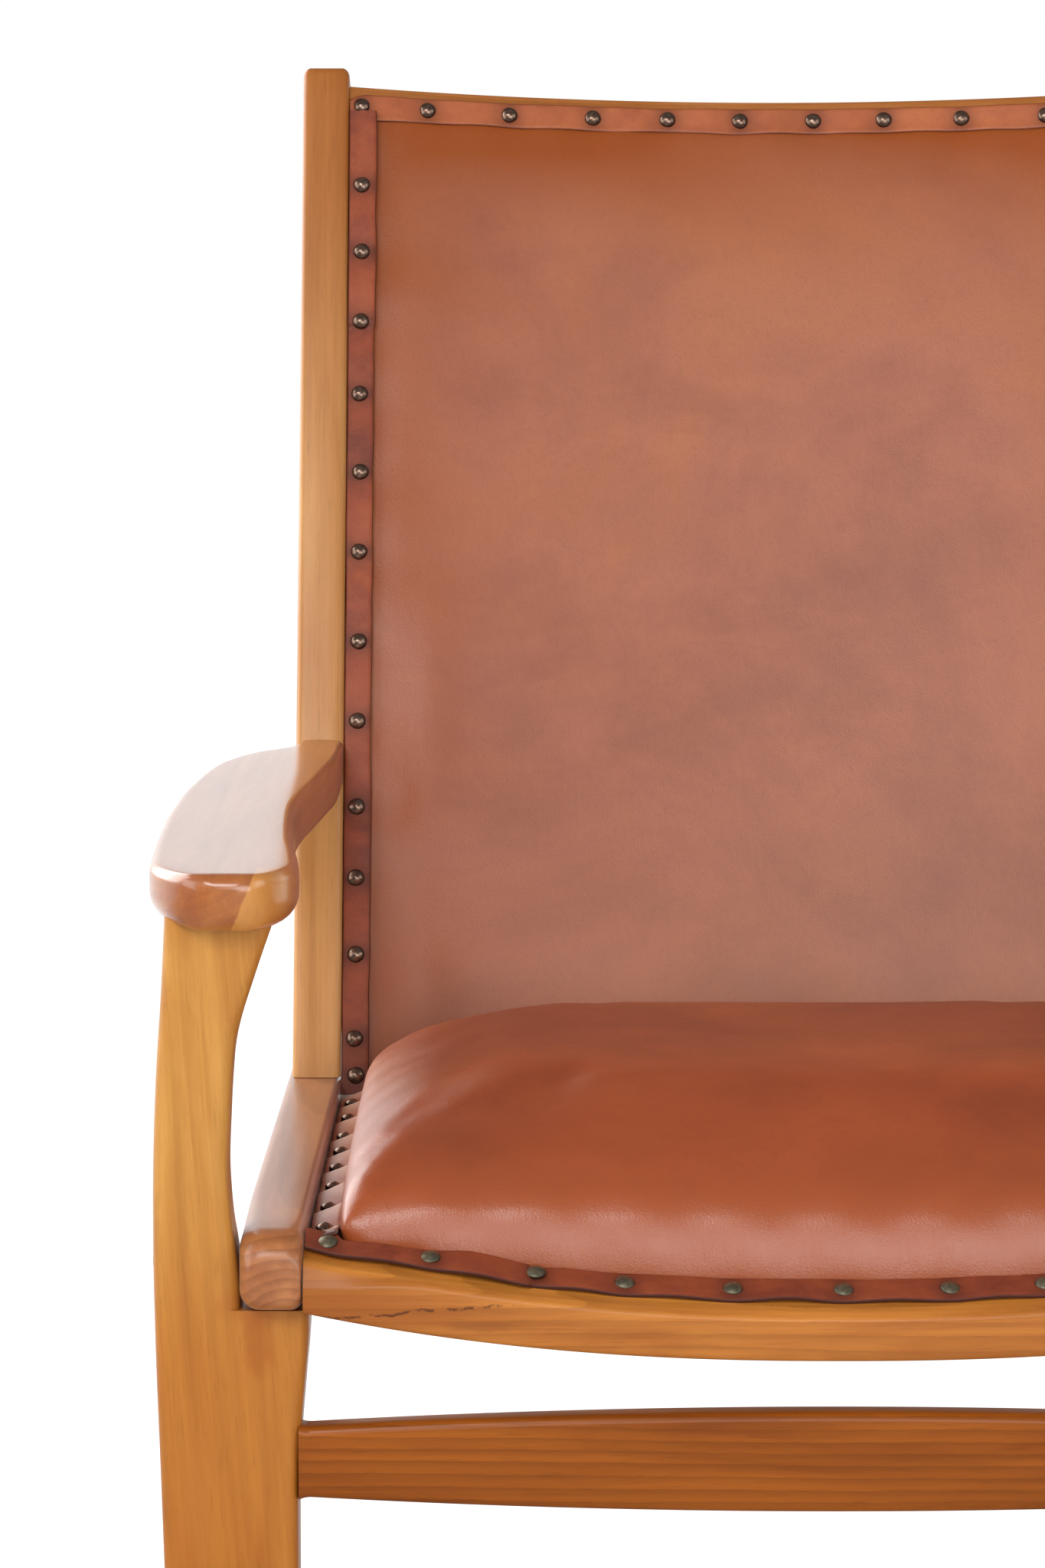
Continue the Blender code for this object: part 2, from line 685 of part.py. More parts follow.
def make_rear_rail(seat, rails):
    """The hidden rail under the back of the seat board, dipped like the front one."""
    back = SEAT_FRAME_END
    front = back - REAR_RAIL_THICKNESS

    def section(x):
        high = board_level(x) - BOARD_THICKNESS - CLEARANCE
        low = high - REAR_RAIL_HEIGHT
        return [(front, low), (front, high), (back, high), (back, low)]

    half = RAIL_INNER - CLEARANCE
    bm = loft(cross_rings(half, STRETCHER_SECTIONS, section))
    rail = make_object("rear_rail", bm, seat, (TEAK, 0.45))
    tongues, holes = make_cross_tenons(
        "rear_rail", seat, front + REAR_TENON_SHOULDER, back - REAR_TENON_SHOULDER,
        *REAR_TENON_HEIGHTS, RAIL_INNER, REAR_TENON_LENGTH,
    )
    join_cross_piece(rail, tongues, holes, rails)


def make_stretcher(name, half, y_middle, height, hosts):
    """A lens-shaped stretcher, deepest in the middle, with a tongue in each leg."""

    def section(x):
        swell = (STRETCHER_MIDDLE - STRETCHER_END) / 2 * (1 - min(abs(x) / half, 1.0) ** 2)
        tall = STRETCHER_END / 2 + swell
        return round_box(
            y_middle - STRETCHER_THICKNESS / 2, y_middle + STRETCHER_THICKNESS / 2,
            height - tall, height + tall, (STRETCHER_ROUND,) * 4,
        )

    bm = loft(cross_rings(half, STRETCHER_SECTIONS, section))
    stretcher = make_object(name, bm, None, (TEAK_DARK, 0.4))
    tall = STRETCHER_END / 2 - STRETCHER_SHOULDER
    tongues, holes = make_cross_tenons(
        name, None, y_middle - TENON_THICKNESS / 2, y_middle + TENON_THICKNESS / 2,
        height - tall, height + tall, half,
    )
    join_cross_piece(stretcher, tongues, holes, hosts)


def make_stretchers(front_legs, rear_legs):
    reach = [STRETCHER_HEIGHT + STRETCHER_END * share for share in (-0.5, -0.25, 0.0, 0.25, 0.5)]
    inner = RAIL_OUTER + min(leg_edge(height, 2) for height in reach)
    y = FRONT_Y + LEG_SETBACK + STRETCHER_THICKNESS / 2 + STRETCHER_SETBACK
    make_stretcher("front_stretcher", inner - CLEARANCE * 2, y, STRETCHER_HEIGHT, front_legs)
    drop = rear_leg_top() - REAR_STRETCHER_HEIGHT
    out, rear_y, _ = rear_leg_point(drop)
    splay = rear_leg_point(drop - STRETCHER_END / 2)[0] - out
    rear_half = out + splay - REAR_LEG_WIDTH / 2 - CLEARANCE
    make_stretcher("rear_stretcher", rear_half, rear_y, REAR_STRETCHER_HEIGHT, rear_legs)


def make_back_rail(name, s0, s1, back, posts):
    """A curved rail between the posts, bent towards the back in the middle."""

    def section(x):
        front = BACK_RECESS + CLEARANCE + bend(x)
        return round_box(front, front + BACK_RAIL_THICKNESS, s0, s1, (BACK_RAIL_ROUND,) * 4)

    half = RAIL_INNER - CLEARANCE
    rail = make_object(name, loft(cross_rings(half, CROSS_SECTIONS, section)), back, (TEAK, 0.35))
    middle = BACK_RECESS + BACK_RAIL_THICKNESS / 2
    tongues, holes = make_cross_tenons(
        name, back, middle - TENON_THICKNESS / 2, middle + TENON_THICKNESS / 2,
        s0 + BACK_TENON_SHOULDER, s1 - BACK_TENON_SHOULDER, RAIL_INNER,
    )
    join_cross_piece(rail, tongues, holes, posts)


def make_cleats(seat):
    """Battens on the rails' inner faces that carry the seat board."""
    top = board_level(RAIL_INNER - CLEAT_WIDTH) - BOARD_THICKNESS - CLEARANCE
    for side, name in SIDES:
        bm = sided_box(
            side, BATTEN_INNER, RAIL_INNER - CLEARANCE,
            FRONT_RAIL_BACK + CLEARANCE, SEAT_FRAME_END - REAR_RAIL_THICKNESS - CLEARANCE,
            top - CLEAT_HEIGHT, top,
        )
        make_object(f"seat_cleat_{name}", bm, seat, (PLYWOOD, 0.6))


def make_seat_board(seat):
    def section(x):
        top = board_level(x)
        front = FRONT_RAIL_BACK + CLEARANCE
        rear = SEAT_FRAME_END
        return [(front, top - BOARD_THICKNESS), (front, top), (rear, top), (rear, top - BOARD_THICKNESS)]

    half = RAIL_INNER - CLEARANCE
    make_object("seat_board", loft(cross_rings(half, CROSS_SECTIONS, section)), seat, (PLYWOOD, 0.6))


def fullness(place, power):
    """How full a cushion is at a place from -1 to 1 across it."""
    return (1 - min(abs(place), 1.0) ** power) ** CROWN_POWER


def make_pad(name, parent, half, along, low_side, top_side, look, columns=22, rows=20):
    """A closed pad over a grid: low_side and top_side give its two faces at (x, place)."""
    bm = bmesh.new()
    sheets = []
    for face in (low_side, top_side):
        grid = []
        for j in range(rows + 1):
            t = -math.cos(math.pi * j / rows)
            line = []
            for i in range(columns + 1):
                r = -math.cos(math.pi * i / columns)
                line.append(bm.verts.new(face(half * r, along(half * r, t), r, t)))
            grid.append(line)
        sheets.append(grid)
    for grid in sheets:
        for j in range(rows):
            for i in range(columns):
                bm.faces.new((grid[j][i], grid[j][i + 1], grid[j + 1][i + 1], grid[j + 1][i]))
    low, top = sheets
    rim = [(0, i) for i in range(columns)]
    rim += [(j, columns) for j in range(rows)]
    rim += [(rows, i) for i in range(columns, 0, -1)]
    rim += [(j, 0) for j in range(rows, 0, -1)]
    for (j0, i0), (j1, i1) in zip(rim, rim[1:] + rim[:1]):
        bm.faces.new((low[j0][i0], low[j1][i1], top[j1][i1], top[j0][i0]))
    return make_object(name, bm, parent, look)


def make_seat_cushion(seat):
    """The crowned seat pad, drawn in along its sides and bowed to the back's curve."""
    front = FRONT_RAIL_BACK + CLEARANCE * 2
    rear = POST_PLACE - CUSHION_GAP

    def along(x, t):
        end = rear + bend(x) * CUSHION_BOW
        return front + (end - front) * (t + 1) / 2

    def low(x, y, r, t):
        return x, y, board_level(x) + CLEARANCE

    across, lengthwise = CUSHION_FULLNESS

    def top(x, y, r, t):
        rim = board_level(x) + CUSHION_RIM
        return x, y, rim + (SEAT_CROWN - rim) * fullness(r, across) * fullness(t, lengthwise)

    half = BATTEN_INNER - CLEARANCE
    make_pad("seat_cushion", seat, half, along, low, top, (LEATHER, 0.35))


def make_back_pad(back):
    """The thin leather pad of the back, curved with the rails and slightly full."""
    across, lengthwise = BACK_FULLNESS

    def along(x, t):
        return BACK_PAD_START + (POST_TRIM_TOP - BACK_PAD_START) * (t + 1) / 2

    def rear(x, s, r, t):
        return x, BACK_RECESS + bend(x), s

    def front(x, s, r, t):
        full = BACK_CROWN * fullness(r, across) * fullness(t, lengthwise)
        return x, BACK_RECESS - TRIM_THICKNESS + bend(x) - full, s

    half = BATTEN_INNER - CLEARANCE
    make_pad("back_pad", back, half, along, rear, front, (LEATHER, 0.35))


def make_back_layers(back):
    """The thin curved board behind the back pad, and the lining that covers its rear."""
    start = LOWER_RAIL_PLACE + LOWER_RAIL_HEIGHT + CLEARANCE
    end = TOP_RAIL_TOP - TOP_RAIL_HEIGHT - CLEARANCE
    half = BATTEN_INNER - CLEARANCE
    board_front = BACK_RECESS + CLEARANCE
    lining_front = board_front + BACK_BOARD_THICKNESS + CLEARANCE
    layers = (
        ("back_board", board_front, BACK_BOARD_THICKNESS, (PLYWOOD, 0.6)),
        ("back_lining", lining_front, LINING_THICKNESS, (LINING, 0.7)),
    )
    for name, front, thick, look in layers:

        def section(x):
            near = front + bend(x)
            return [(near, start), (near, end), (near + thick, end), (near + thick, start)]

        make_object(name, loft(cross_rings(half, CROSS_SECTIONS, section)), back, look)


def make_battens(back):
    """Strips along the posts' inner faces that the back leather is nailed to."""
    start = LOWER_RAIL_PLACE + LOWER_RAIL_HEIGHT + CLEARANCE
    end = TOP_RAIL_TOP - TOP_RAIL_HEIGHT - CLEARANCE
    for side, name in SIDES:
        bm = sided_box(
            side, BATTEN_INNER, RAIL_INNER - CLEARANCE,
            BACK_RECESS + CLEARANCE, BACK_RECESS + CLEARANCE + BATTEN_DEPTH, start, end,
        )
        make_object(f"back_batten_{name}", bm, back, (TEAK, 0.5))


def add_nails(strip, name, parent, places, outward):
    """Domed nail heads raised on a leather strip: places are points on its face."""
    domes = bmesh.new()
    turn = outward.to_track_quat("Z", "Y").to_matrix().to_4x4()
    turns = [math.tau * step / NAIL_SIDES for step in range(NAIL_SIDES)]
    rings = []
    for height, width in NAIL_PROFILE:
        radius = NAIL_RADIUS * width
        rings.append([(radius * math.cos(angle), radius * math.sin(angle), height) for angle in turns])
    for place in places:
        dome = loft(rings)
        bmesh.ops.transform(dome, matrix=Matrix.Translation(place) @ turn, verts=dome.verts)
        mesh = bpy.data.meshes.new("dome")
        dome.to_mesh(mesh)
        dome.free()
        domes.from_mesh(mesh)
        bpy.data.meshes.remove(mesh)
    combine(strip, make_cutter(f"{name}_nails", domes, parent), "UNION")


def nail_row(start, end, pitch):
    count = max(2, round((end - start) / pitch) + 1)
    return spread(start, end, count)


def make_top_trim(back):
    """The strip across the top rail, with a nail row along its middle."""
    high = TRIM_TOP
    low = high - TRIM_WIDTH

    def section(x):
        front = BACK_RECESS - TRIM_THICKNESS + bend(x)
        rear = BACK_RECESS + bend(x)
        return [(front, low), (front, high), (rear, high), (rear, low)]

    half = RAIL_INNER - CLEARANCE
    bm = loft(cross_rings(half, CROSS_SECTIONS, section))
    strip = make_object("top_trim", bm, back, (LEATHER_TRIM, 0.4))
    reach = RAIL_INNER - NAIL_EDGE
    places = [
        Vector((x, BACK_RECESS - TRIM_THICKNESS + bend(x), (low + high) / 2))
        for x in nail_row(-reach, reach, TOP_NAIL_PITCH)
    ]
    add_nails(strip, "top_trim", back, places, Vector((0.0, -1.0, 0.0)))


def make_post_trims(back):
    """The strips down the posts' inner edges."""
    rows = nail_row(POST_TRIM_START + POST_NAIL_START, POST_TRIM_TOP - POST_NAIL_GAP, POST_NAIL_PITCH)
    for side, name in SIDES:
        bm = sided_box(
            side, BATTEN_INNER, RAIL_INNER - CLEARANCE,
            BACK_RECESS - TRIM_THICKNESS, BACK_RECESS, POST_TRIM_START, POST_TRIM_TOP,
        )
        strip = make_object(f"post_trim_{name}", bm, back, (LEATHER_TRIM, 0.4))
        x = side * (BATTEN_INNER + CLEAT_WIDTH / 2)
        places = [Vector((x, BACK_RECESS - TRIM_THICKNESS, s)) for s in rows]
        add_nails(strip, f"post_trim_{name}", back, places, Vector((0.0, -1.0, 0.0)))


def make_front_trim(seat):
    """The strip on the front rail's sloping top."""
    rise = (FRONT_RAIL_TOP - FRONT_RAIL_TRIM_TOP) / (FRONT_RAIL_BACK - FRONT_RAIL_TRIM_LINE)
    slope = math.atan(rise)
    run = FRONT_TRIM_WIDTH * math.cos(slope)
    lift = FRONT_TRIM_WIDTH * math.sin(slope)
    near = FRONT_RAIL_TRIM_LINE + TRIM_SETBACK
    gap = CLEARANCE / math.cos(slope)
    start = FRONT_RAIL_TRIM_TOP + TRIM_SETBACK * rise + gap
    up = Vector((0.0, -math.sin(slope), math.cos(slope)))

    def section(x):
        low = start - dip(x, SEAT_DIP)
        lower = ((near, low), (near + run, low + lift))
        upper = [(y + up.y * TRIM_THICKNESS, z + up.z * TRIM_THICKNESS) for y, z in reversed(lower)]
        return [*lower, *upper]

    half = RAIL_INNER - CLEARANCE
    bm = loft(cross_rings(half, CROSS_SECTIONS, section))
    strip = make_object("front_trim", bm, seat, (LEATHER_TRIM, 0.4))
    reach = RAIL_INNER - NAIL_EDGE
    places = []
    for x in nail_row(-reach, reach, FRONT_NAIL_PITCH):
        foot = Vector((x, near + run / 2, start + lift / 2 - dip(x, SEAT_DIP)))
        places.append(foot + up * TRIM_THICKNESS)
    add_nails(strip, "front_trim", seat, places, up)


def make_seat_trims(seat):
    """The strips along the seat's sides, sunk below the rails' tops."""
    start = FRONT_RAIL_BACK + TRIM_SETBACK
    end = POST_PLACE - SEAT_TRIM_GAP
    rows = nail_row(start + SEAT_NAIL_START, end - SEAT_NAIL_GAP, SEAT_NAIL_PITCH)
    for side, name in SIDES:
        inner = BATTEN_INNER
        outer = RAIL_INNER - CLEARANCE
        low = [board_level(inner) + CLEARANCE, board_level(outer) + CLEARANCE]
        rings = []
        for y in (start, end):
            rings.append([
                (side * inner, y, low[0]),
                (side * outer, y, low[1]),
                (side * outer, y, low[1] + TRIM_THICKNESS),
                (side * inner, y, low[0] + TRIM_THICKNESS),
            ])
        strip = make_object(f"seat_trim_{name}", loft(rings), seat, (LEATHER_TRIM, 0.4))
        x = inner + CLEAT_WIDTH / 2
        level = (low[0] + low[1]) / 2 + TRIM_THICKNESS
        places = [Vector((side * x, y, level)) for y in rows]
        add_nails(strip, f"seat_trim_{name}", seat, places, Vector((0.0, 0.0, 1.0)))


def make_glides():
    """Low pads under the four feet."""
    y_front = FRONT_Y + LEG_SETBACK + LEG_THICKNESS / 2
    front_edges = [leg_edge(LEG_BASE, column) for column in (1, 2)]
    x_front = RAIL_OUTER + sum(front_edges) / 2
    x_rear, y_rear, _ = rear_leg_point(rear_leg_top() - LEG_BASE)
    for side, name in SIDES:
        for where, x, y in (("front", x_front, y_front), ("rear", x_rear, y_rear)):
            start = (side * x, y, 0.0)
            end = (side * x, y, LEG_BASE - CLEARANCE)
            make_object(f"glide_{where}_{name}", rod(start, end, GLIDE_RADIUS, 16), None, (GLIDE, 0.6))


def main():
    clear_scene()
    seat, back = make_frames()
    rails = []
    posts = []
    front_legs = []
    rear_legs = []
    for side, name in SIDES:
        rail = make_side_rail(side, name, seat)
        post = make_post(side, name, seat, back)
        leg = make_front_leg(side, name, seat)
        arm = make_arm(side, name, back)
        combine(rail, make_cutter(f"foot_mortise_{name}", foot_tenon(side, CLEARANCE), back), "DIFFERENCE")
        combine(rail, make_cutter(f"rear_mortise_{name}", rear_tenon(side, CLEARANCE), seat), "DIFFERENCE")
        make_arm_dowel(side, name, arm, post)
        make_leg_peg(side, name, rail, leg)
        rails.append(rail)
        posts.append(post)
        front_legs.append(leg)
        rear_legs.append(make_rear_leg(side, name, seat))
    make_front_rail(seat, rails)
    make_rear_rail(seat, rails)
    make_stretchers(front_legs, rear_legs)
    make_back_rail("top_rail", TOP_RAIL_TOP - TOP_RAIL_HEIGHT, TOP_RAIL_TOP, back, posts)
    make_back_rail("lower_back_rail", LOWER_RAIL_PLACE, LOWER_RAIL_PLACE + LOWER_RAIL_HEIGHT, back, posts)
    make_cleats(seat)
    make_seat_board(seat)
    make_seat_cushion(seat)
    make_battens(back)
    make_back_layers(back)
    make_back_pad(back)
    make_top_trim(back)
    make_post_trims(back)
    make_front_trim(seat)
    make_seat_trims(seat)
    make_glides()


main()
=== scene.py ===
import math

import bmesh
import bpy
import numpy as np
from mathutils import Matrix, Vector, noise


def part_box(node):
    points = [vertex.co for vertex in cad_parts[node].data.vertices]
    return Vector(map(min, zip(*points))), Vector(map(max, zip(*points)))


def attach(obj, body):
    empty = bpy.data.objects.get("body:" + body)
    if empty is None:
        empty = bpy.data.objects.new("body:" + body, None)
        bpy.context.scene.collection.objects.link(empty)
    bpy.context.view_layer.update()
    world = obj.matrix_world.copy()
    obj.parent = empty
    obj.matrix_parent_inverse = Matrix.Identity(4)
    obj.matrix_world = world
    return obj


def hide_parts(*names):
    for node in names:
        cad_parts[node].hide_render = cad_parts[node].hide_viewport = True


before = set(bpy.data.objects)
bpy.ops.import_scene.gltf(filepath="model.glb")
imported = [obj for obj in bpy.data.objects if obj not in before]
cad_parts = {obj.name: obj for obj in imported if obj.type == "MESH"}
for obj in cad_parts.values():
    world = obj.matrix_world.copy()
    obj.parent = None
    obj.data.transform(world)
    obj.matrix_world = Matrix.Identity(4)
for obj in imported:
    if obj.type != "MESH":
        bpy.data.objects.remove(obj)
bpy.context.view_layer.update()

# Sizes shared with the CAD model, in metres and radians
FRONT_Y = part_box("arm_left")[0].y
SLOPE = math.radians(1.8)
RECLINE = math.radians(20.0)
SEAT_HEIGHT = 0.446
RAIL_INNER = 0.249
RAIL_OUTER = 0.279
RAIL_HEIGHT = 0.038
RAIL_LENGTH = 0.512
RAIL_NOSE = 0.020
LEG_FRONT = FRONT_Y + 0.021
LEG_THICKNESS = 0.034
LEG_BASE = 0.0040
POST_PLACE = 0.452
POST_OUTER = 0.276
POST_DEPTH = 0.033
POST_LENGTH = 0.600
ARM_HEIGHT = 0.614
ARM_THICKNESS = 0.027
ARM_TIP = 0.054
BATTEN_INNER = 0.2333
GAP = 0.0003
SEAT_DIP = 0.026
DIP_POWER = 2.3
RAIL_BELLY = 0.0225
BACK_BEND = 0.026
BACK_RECESS = 0.0054
BACK_RAIL_THICKNESS = 0.020
TOP_RAIL_TOP = 0.590
TRIM_TOP = TOP_RAIL_TOP - 0.006
BOARD_DROP = 0.0115
SEAT_ORIGIN = Vector((0.0, FRONT_Y + 0.006, SEAT_HEIGHT))
POST_ORIGIN = Vector((
    0.0,
    SEAT_ORIGIN.y + POST_PLACE * math.cos(SLOPE),
    SEAT_ORIGIN.z - POST_PLACE * math.sin(SLOPE),
))
SIDES = ((-1, "left"), (1, "right"))

# Distance behind the tip, then how far the arm's outer and inner edge lie outside the rail's outer face
ARM_EDGES = (
    (0.000, 0.0385, -0.0275), (0.040, 0.0415, -0.0280), (0.080, 0.0435, -0.0255),
    (0.132, 0.0453, -0.0212), (0.215, 0.0468, -0.0175), (0.260, 0.0463, -0.0172),
    (0.305, 0.0454, -0.0195), (0.350, 0.0428, -0.0232), (0.4015, 0.0385, -0.0270),
    (0.4357, 0.0328, -0.0294), (0.4815, 0.0170, -0.0299), (0.5067, -0.0010, -0.0299),
    (0.535, -0.0060, -0.0299),
)
# Height, then the same for a front leg; its inner edge above the shoulder is a table of its own
LEG_EDGES = (
    (0.000, 0.0285, -0.0190), (0.120, 0.0325, -0.0225), (0.240, 0.0355, -0.0262),
    (0.330, 0.0380, -0.0270), (0.370, 0.0393, -0.0300), (0.395, 0.0399, -0.0322),
    (0.412, 0.0402, -0.0322), (0.4329, 0.0404, -0.0322), (0.4745, 0.0400, -0.0322),
    (0.5143, 0.0384, -0.0322), (0.5567, 0.0355, -0.0322), (0.603, 0.0330, -0.0322),
)
UPPER_LEG_EDGE = (
    (0.4162, -0.0002), (0.4329, 0.0014), (0.4467, 0.0036), (0.4605, 0.0048), (0.4745, 0.0053),
    (0.4950, 0.0045), (0.5143, 0.0034), (0.5294, 0.0019), (0.5417, -0.0009), (0.5567, -0.0057),
    (0.5731, -0.0112), (0.5867, -0.0160), (0.603, -0.0215),
)
REAR_LEG_PLACE = 0.462
# Drop below the rail, then how far out, how far back and how deep a rear leg is there
REAR_LEG_PATH = (
    (0.000, 0.000, 0.000, 0.058), (0.035, 0.006, 0.006, 0.053), (0.095, 0.021, 0.025, 0.048),
    (0.190, 0.032, 0.074, 0.043), (0.290, 0.0375, 0.132, 0.038), (0.395, 0.041, 0.196, 0.034),
)


# Geometry helpers

def seat_point(x, y, z):
    """A point of the sloping seat plane's frame in the shared frame."""
    c, s = math.cos(SLOPE), math.sin(SLOPE)
    return Vector((x, SEAT_ORIGIN.y + y * c + z * s, SEAT_ORIGIN.z - y * s + z * c))


def seat_local(point):
    """The way back from seat_point."""
    c, s = math.cos(SLOPE), math.sin(SLOPE)
    y, z = point.y - SEAT_ORIGIN.y, point.z - SEAT_ORIGIN.z
    return point.x, y * c - z * s, y * s + z * c


def back_point(x, d, s):
    """A point d behind the posts' front face and s up along them, in the shared frame."""
    c, n = math.cos(RECLINE), math.sin(RECLINE)
    return Vector((x, POST_ORIGIN.y + d * c + s * n, POST_ORIGIN.z - d * n + s * c))


def back_local(point):
    """The way back from back_point."""
    c, n = math.cos(RECLINE), math.sin(RECLINE)
    y, z = point.y - POST_ORIGIN.y, point.z - POST_ORIGIN.z
    return point.x, y * c - z * n, y * n + z * c


BACK_OUT = back_point(0, 0, 0) - back_point(0, 1, 0)
BACK_UP = back_point(0, 0, 1) - back_point(0, 0, 0)
SEAT_UP = seat_point(0, 0, 1) - seat_point(0, 0, 0)


def smooth_value(rows, place, column):
    """A table's column at a place, along a smooth curve through its rows."""
    last = len(rows) - 1
    index = max(i for i in range(last) if rows[i][0] <= place or i == 0)
    low, high = rows[index], rows[index + 1]
    span = high[0] - low[0]
    t = min(max((place - low[0]) / span, 0.0), 1.0)

    def slope(i):
        a, b = rows[max(i - 1, 0)], rows[min(i + 1, last)]
        return (b[column] - a[column]) / (b[0] - a[0])

    a, b = low[column], high[column]
    ra, rb = slope(index) * span, slope(index + 1) * span
    return (
        (2 * t**3 - 3 * t**2 + 1) * a + (t**3 - 2 * t**2 + t) * ra
        + (3 * t**2 - 2 * t**3) * b + (t**3 - t**2) * rb
    )


def ease(value, low, high):
    """From 0 to 1 between two values, with a soft start and end."""
    u = min(max((value - low) / (high - low), 0.0), 1.0)
    return u * u * (3 - 2 * u)


def rounded(place, reach):
    """From 0 at a tip to 1 at a distance, along a quarter circle."""
    u = min(max(place / reach, 0.0), 1.0)
    return math.sqrt(1 - (1 - u) ** 2)


def ledge(place, width=0.0004):
    """0 below place 0 and 1 above it, over a short width."""
    return 0.5 + 0.5 * math.tanh(place / (2 * width))


def hump(place, middle, width):
    """A bell curve with its top, 1, in the middle."""
    return math.exp(-(((place - middle) / width) ** 2))


def spread(start, end, count):
    return [start + (end - start) * i / (count - 1) for i in range(count)]


def bowed(x, power):
    """1 in the middle of the chair and 0 at the side rails."""
    return 1 - min(abs(x) / RAIL_INNER, 1.0) ** power


def dip(x, depth):
    """How far the saddle of the seat sinks at x."""
    return depth * bowed(x, DIP_POWER)


def bend(x):
    """How far the back's curve lies behind the posts at x."""
    return BACK_BEND * bowed(x, 2)


def board_level(x):
    """Height of the seat board's top above the rails' tops."""
    return -BOARD_DROP - dip(x, SEAT_DIP)


def wave(value, seed):
    """Smooth noise from -1 to 1 along one value."""
    return noise.noise(Vector((value, seed * 7.31, seed * 3.77)))


def circle(count):
    """Angles, cosines and sines round a circle."""
    angles = [math.tau * k / count for k in range(count)]
    return [(angle, math.cos(angle), math.sin(angle)) for angle in angles]


def outline(a0, a1, b0, b1, radii, inset=0.0, steps=6, flats=1):
    """A rounded box outline with corners (a0, b0), (a1, b0), (a1, b1), (a0, b1)."""
    a0, a1, b0, b1 = a0 + inset, a1 - inset, b0 + inset, b1 - inset
    limit = min(a1 - a0, b1 - b0) / 2 - 0.0001
    corners = ((a0, b0, 1, 1, 180), (a1, b0, -1, 1, 270), (a1, b1, -1, -1, 0), (a0, b1, 1, -1, 90))
    points = []
    for (a, b, ta, tb, start), radius in zip(corners, radii):
        radius = min(max(radius - inset, 0.0006), limit)
        for step in range(steps + 1):
            angle = math.radians(start + 90 * step / steps)
            points.append((a + radius * (ta + math.cos(angle)), b + radius * (tb + math.sin(angle))))
    full = []
    for index, (a, b) in enumerate(points):
        full.append((a, b))
        if index % (steps + 1) == steps:
            c, d = points[(index + 1) % len(points)]
            full += [(a + (c - a) * k / flats, b + (d - b) * k / flats) for k in range(1, flats)]
    return full


def round_off(points, radii, steps):
    """A closed outline whose corners are rounded, each by its own radius."""
    result = []
    for i, (point, radius) in enumerate(zip(points, radii)):
        here = Vector(point)
        before = Vector(points[i - 1]) - here
        after = Vector(points[(i + 1) % len(points)]) - here
        reach = min(radius / math.tan(before.angle(after) / 2), before.length * 0.49, after.length * 0.49)
        a = here + before.normalized() * reach
        b = here + after.normalized() * reach
        for k in range(steps + 1):
            t = k / steps
            result.append(tuple((1 - t) ** 2 * a + 2 * t * (1 - t) * here + t * t * b))
    return result


def ends(start, finish, r0, r1, inner, steps):
    """Places along a piece with the inset of its rounded ends."""
    turns = [math.pi / 2 * k / steps for k in range(steps + 1)]
    result = [(start + r0 * (1 - math.cos(turn)), r0 * (1 - math.sin(turn))) for turn in turns]
    result += [(p, 0.0) for p in spread(start + r0, finish - r1, inner)[1:-1]]
    result += [(finish - r1 * (1 - math.cos(turn)), r1 * (1 - math.sin(turn))) for turn in reversed(turns)]
    return result


def skin(bm, rows):
    """Quads between rows of vertices, and a cap on the first and the last row."""
    count = len(rows[0])
    for low, high in zip(rows, rows[1:]):
        for i in range(count):
            j = (i + 1) % count
            bm.faces.new((low[i], low[j], high[j], high[i]))
    bm.faces.new(rows[0])
    bm.faces.new(rows[-1])


def make_piece(name, bm, material, stands_for=(), sharp=40):
    """A smooth shaded piece on the one body; edges over sharp degrees stay crisp."""
    bmesh.ops.recalc_face_normals(bm, faces=bm.faces)
    mesh = bpy.data.meshes.new(name)
    bm.to_mesh(mesh)
    bm.free()
    piece = bpy.data.objects.new(name, mesh)
    bpy.context.scene.collection.objects.link(piece)
    mesh.materials.append(material)
    mesh.shade_smooth()
    mesh.set_sharp_from_angle(angle=math.radians(sharp))
    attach(piece, "root")
    if stands_for:
        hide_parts(*stands_for)
    return piece


def loft(name, rings, material, stands_for):
    """A piece skinned over rings of points."""
    bm = bmesh.new()
    skin(bm, [[bm.verts.new(point) for point in ring] for ring in rings])
    make_piece(name, bm, material, stands_for)


# Materials

class Value:
    """A shader node's output that takes arithmetic."""

    def __init__(self, socket):
        self.socket = socket
        self.tree = socket.id_data

    def __add__(self, other):
        return calculate("ADD", self, other)

    def __sub__(self, other):
        return calculate("SUBTRACT", self, other)

    def __rsub__(self, other):
        return calculate("SUBTRACT", other, self)

    def __mul__(self, other):
        return calculate("MULTIPLY", self, other)

    def __abs__(self):
        return calculate("ABSOLUTE", self)


def feed(socket, value):
    """Link a value to a socket, or set the socket to a number, vector or colour."""
    if isinstance(value, Value):
        socket.id_data.links.new(value.socket, socket)
    elif isinstance(value, tuple) and len(value) < len(socket.default_value):
        socket.default_value = (*value, 1.0)
    else:
        socket.default_value = value


def build(tree, kind, inputs, output=0, **settings):
    """Add a shader node, feed its inputs and give one of its outputs."""
    made = tree.nodes.new("ShaderNode" + kind)
    for key, setting in settings.items():
        setattr(made, key, setting)
    for key, value in inputs.items():
        feed(made.inputs[key], value)
    return Value(made.outputs[output])


def connect(shader, **values):
    """Feed a shader's sockets by their names."""
    for name, value in values.items():
        feed(shader.inputs[name.replace("_", " ")], value)


def calculate(operation, a, b=0.0):
    tree = a.tree if isinstance(a, Value) else b.tree
    return build(tree, "Math", {0: a, 1: b}, operation=operation)


def new_material(name):
    material = bpy.data.materials.new(name)
    material.use_nodes = True
    return material, material.node_tree, material.node_tree.nodes["Principled BSDF"]


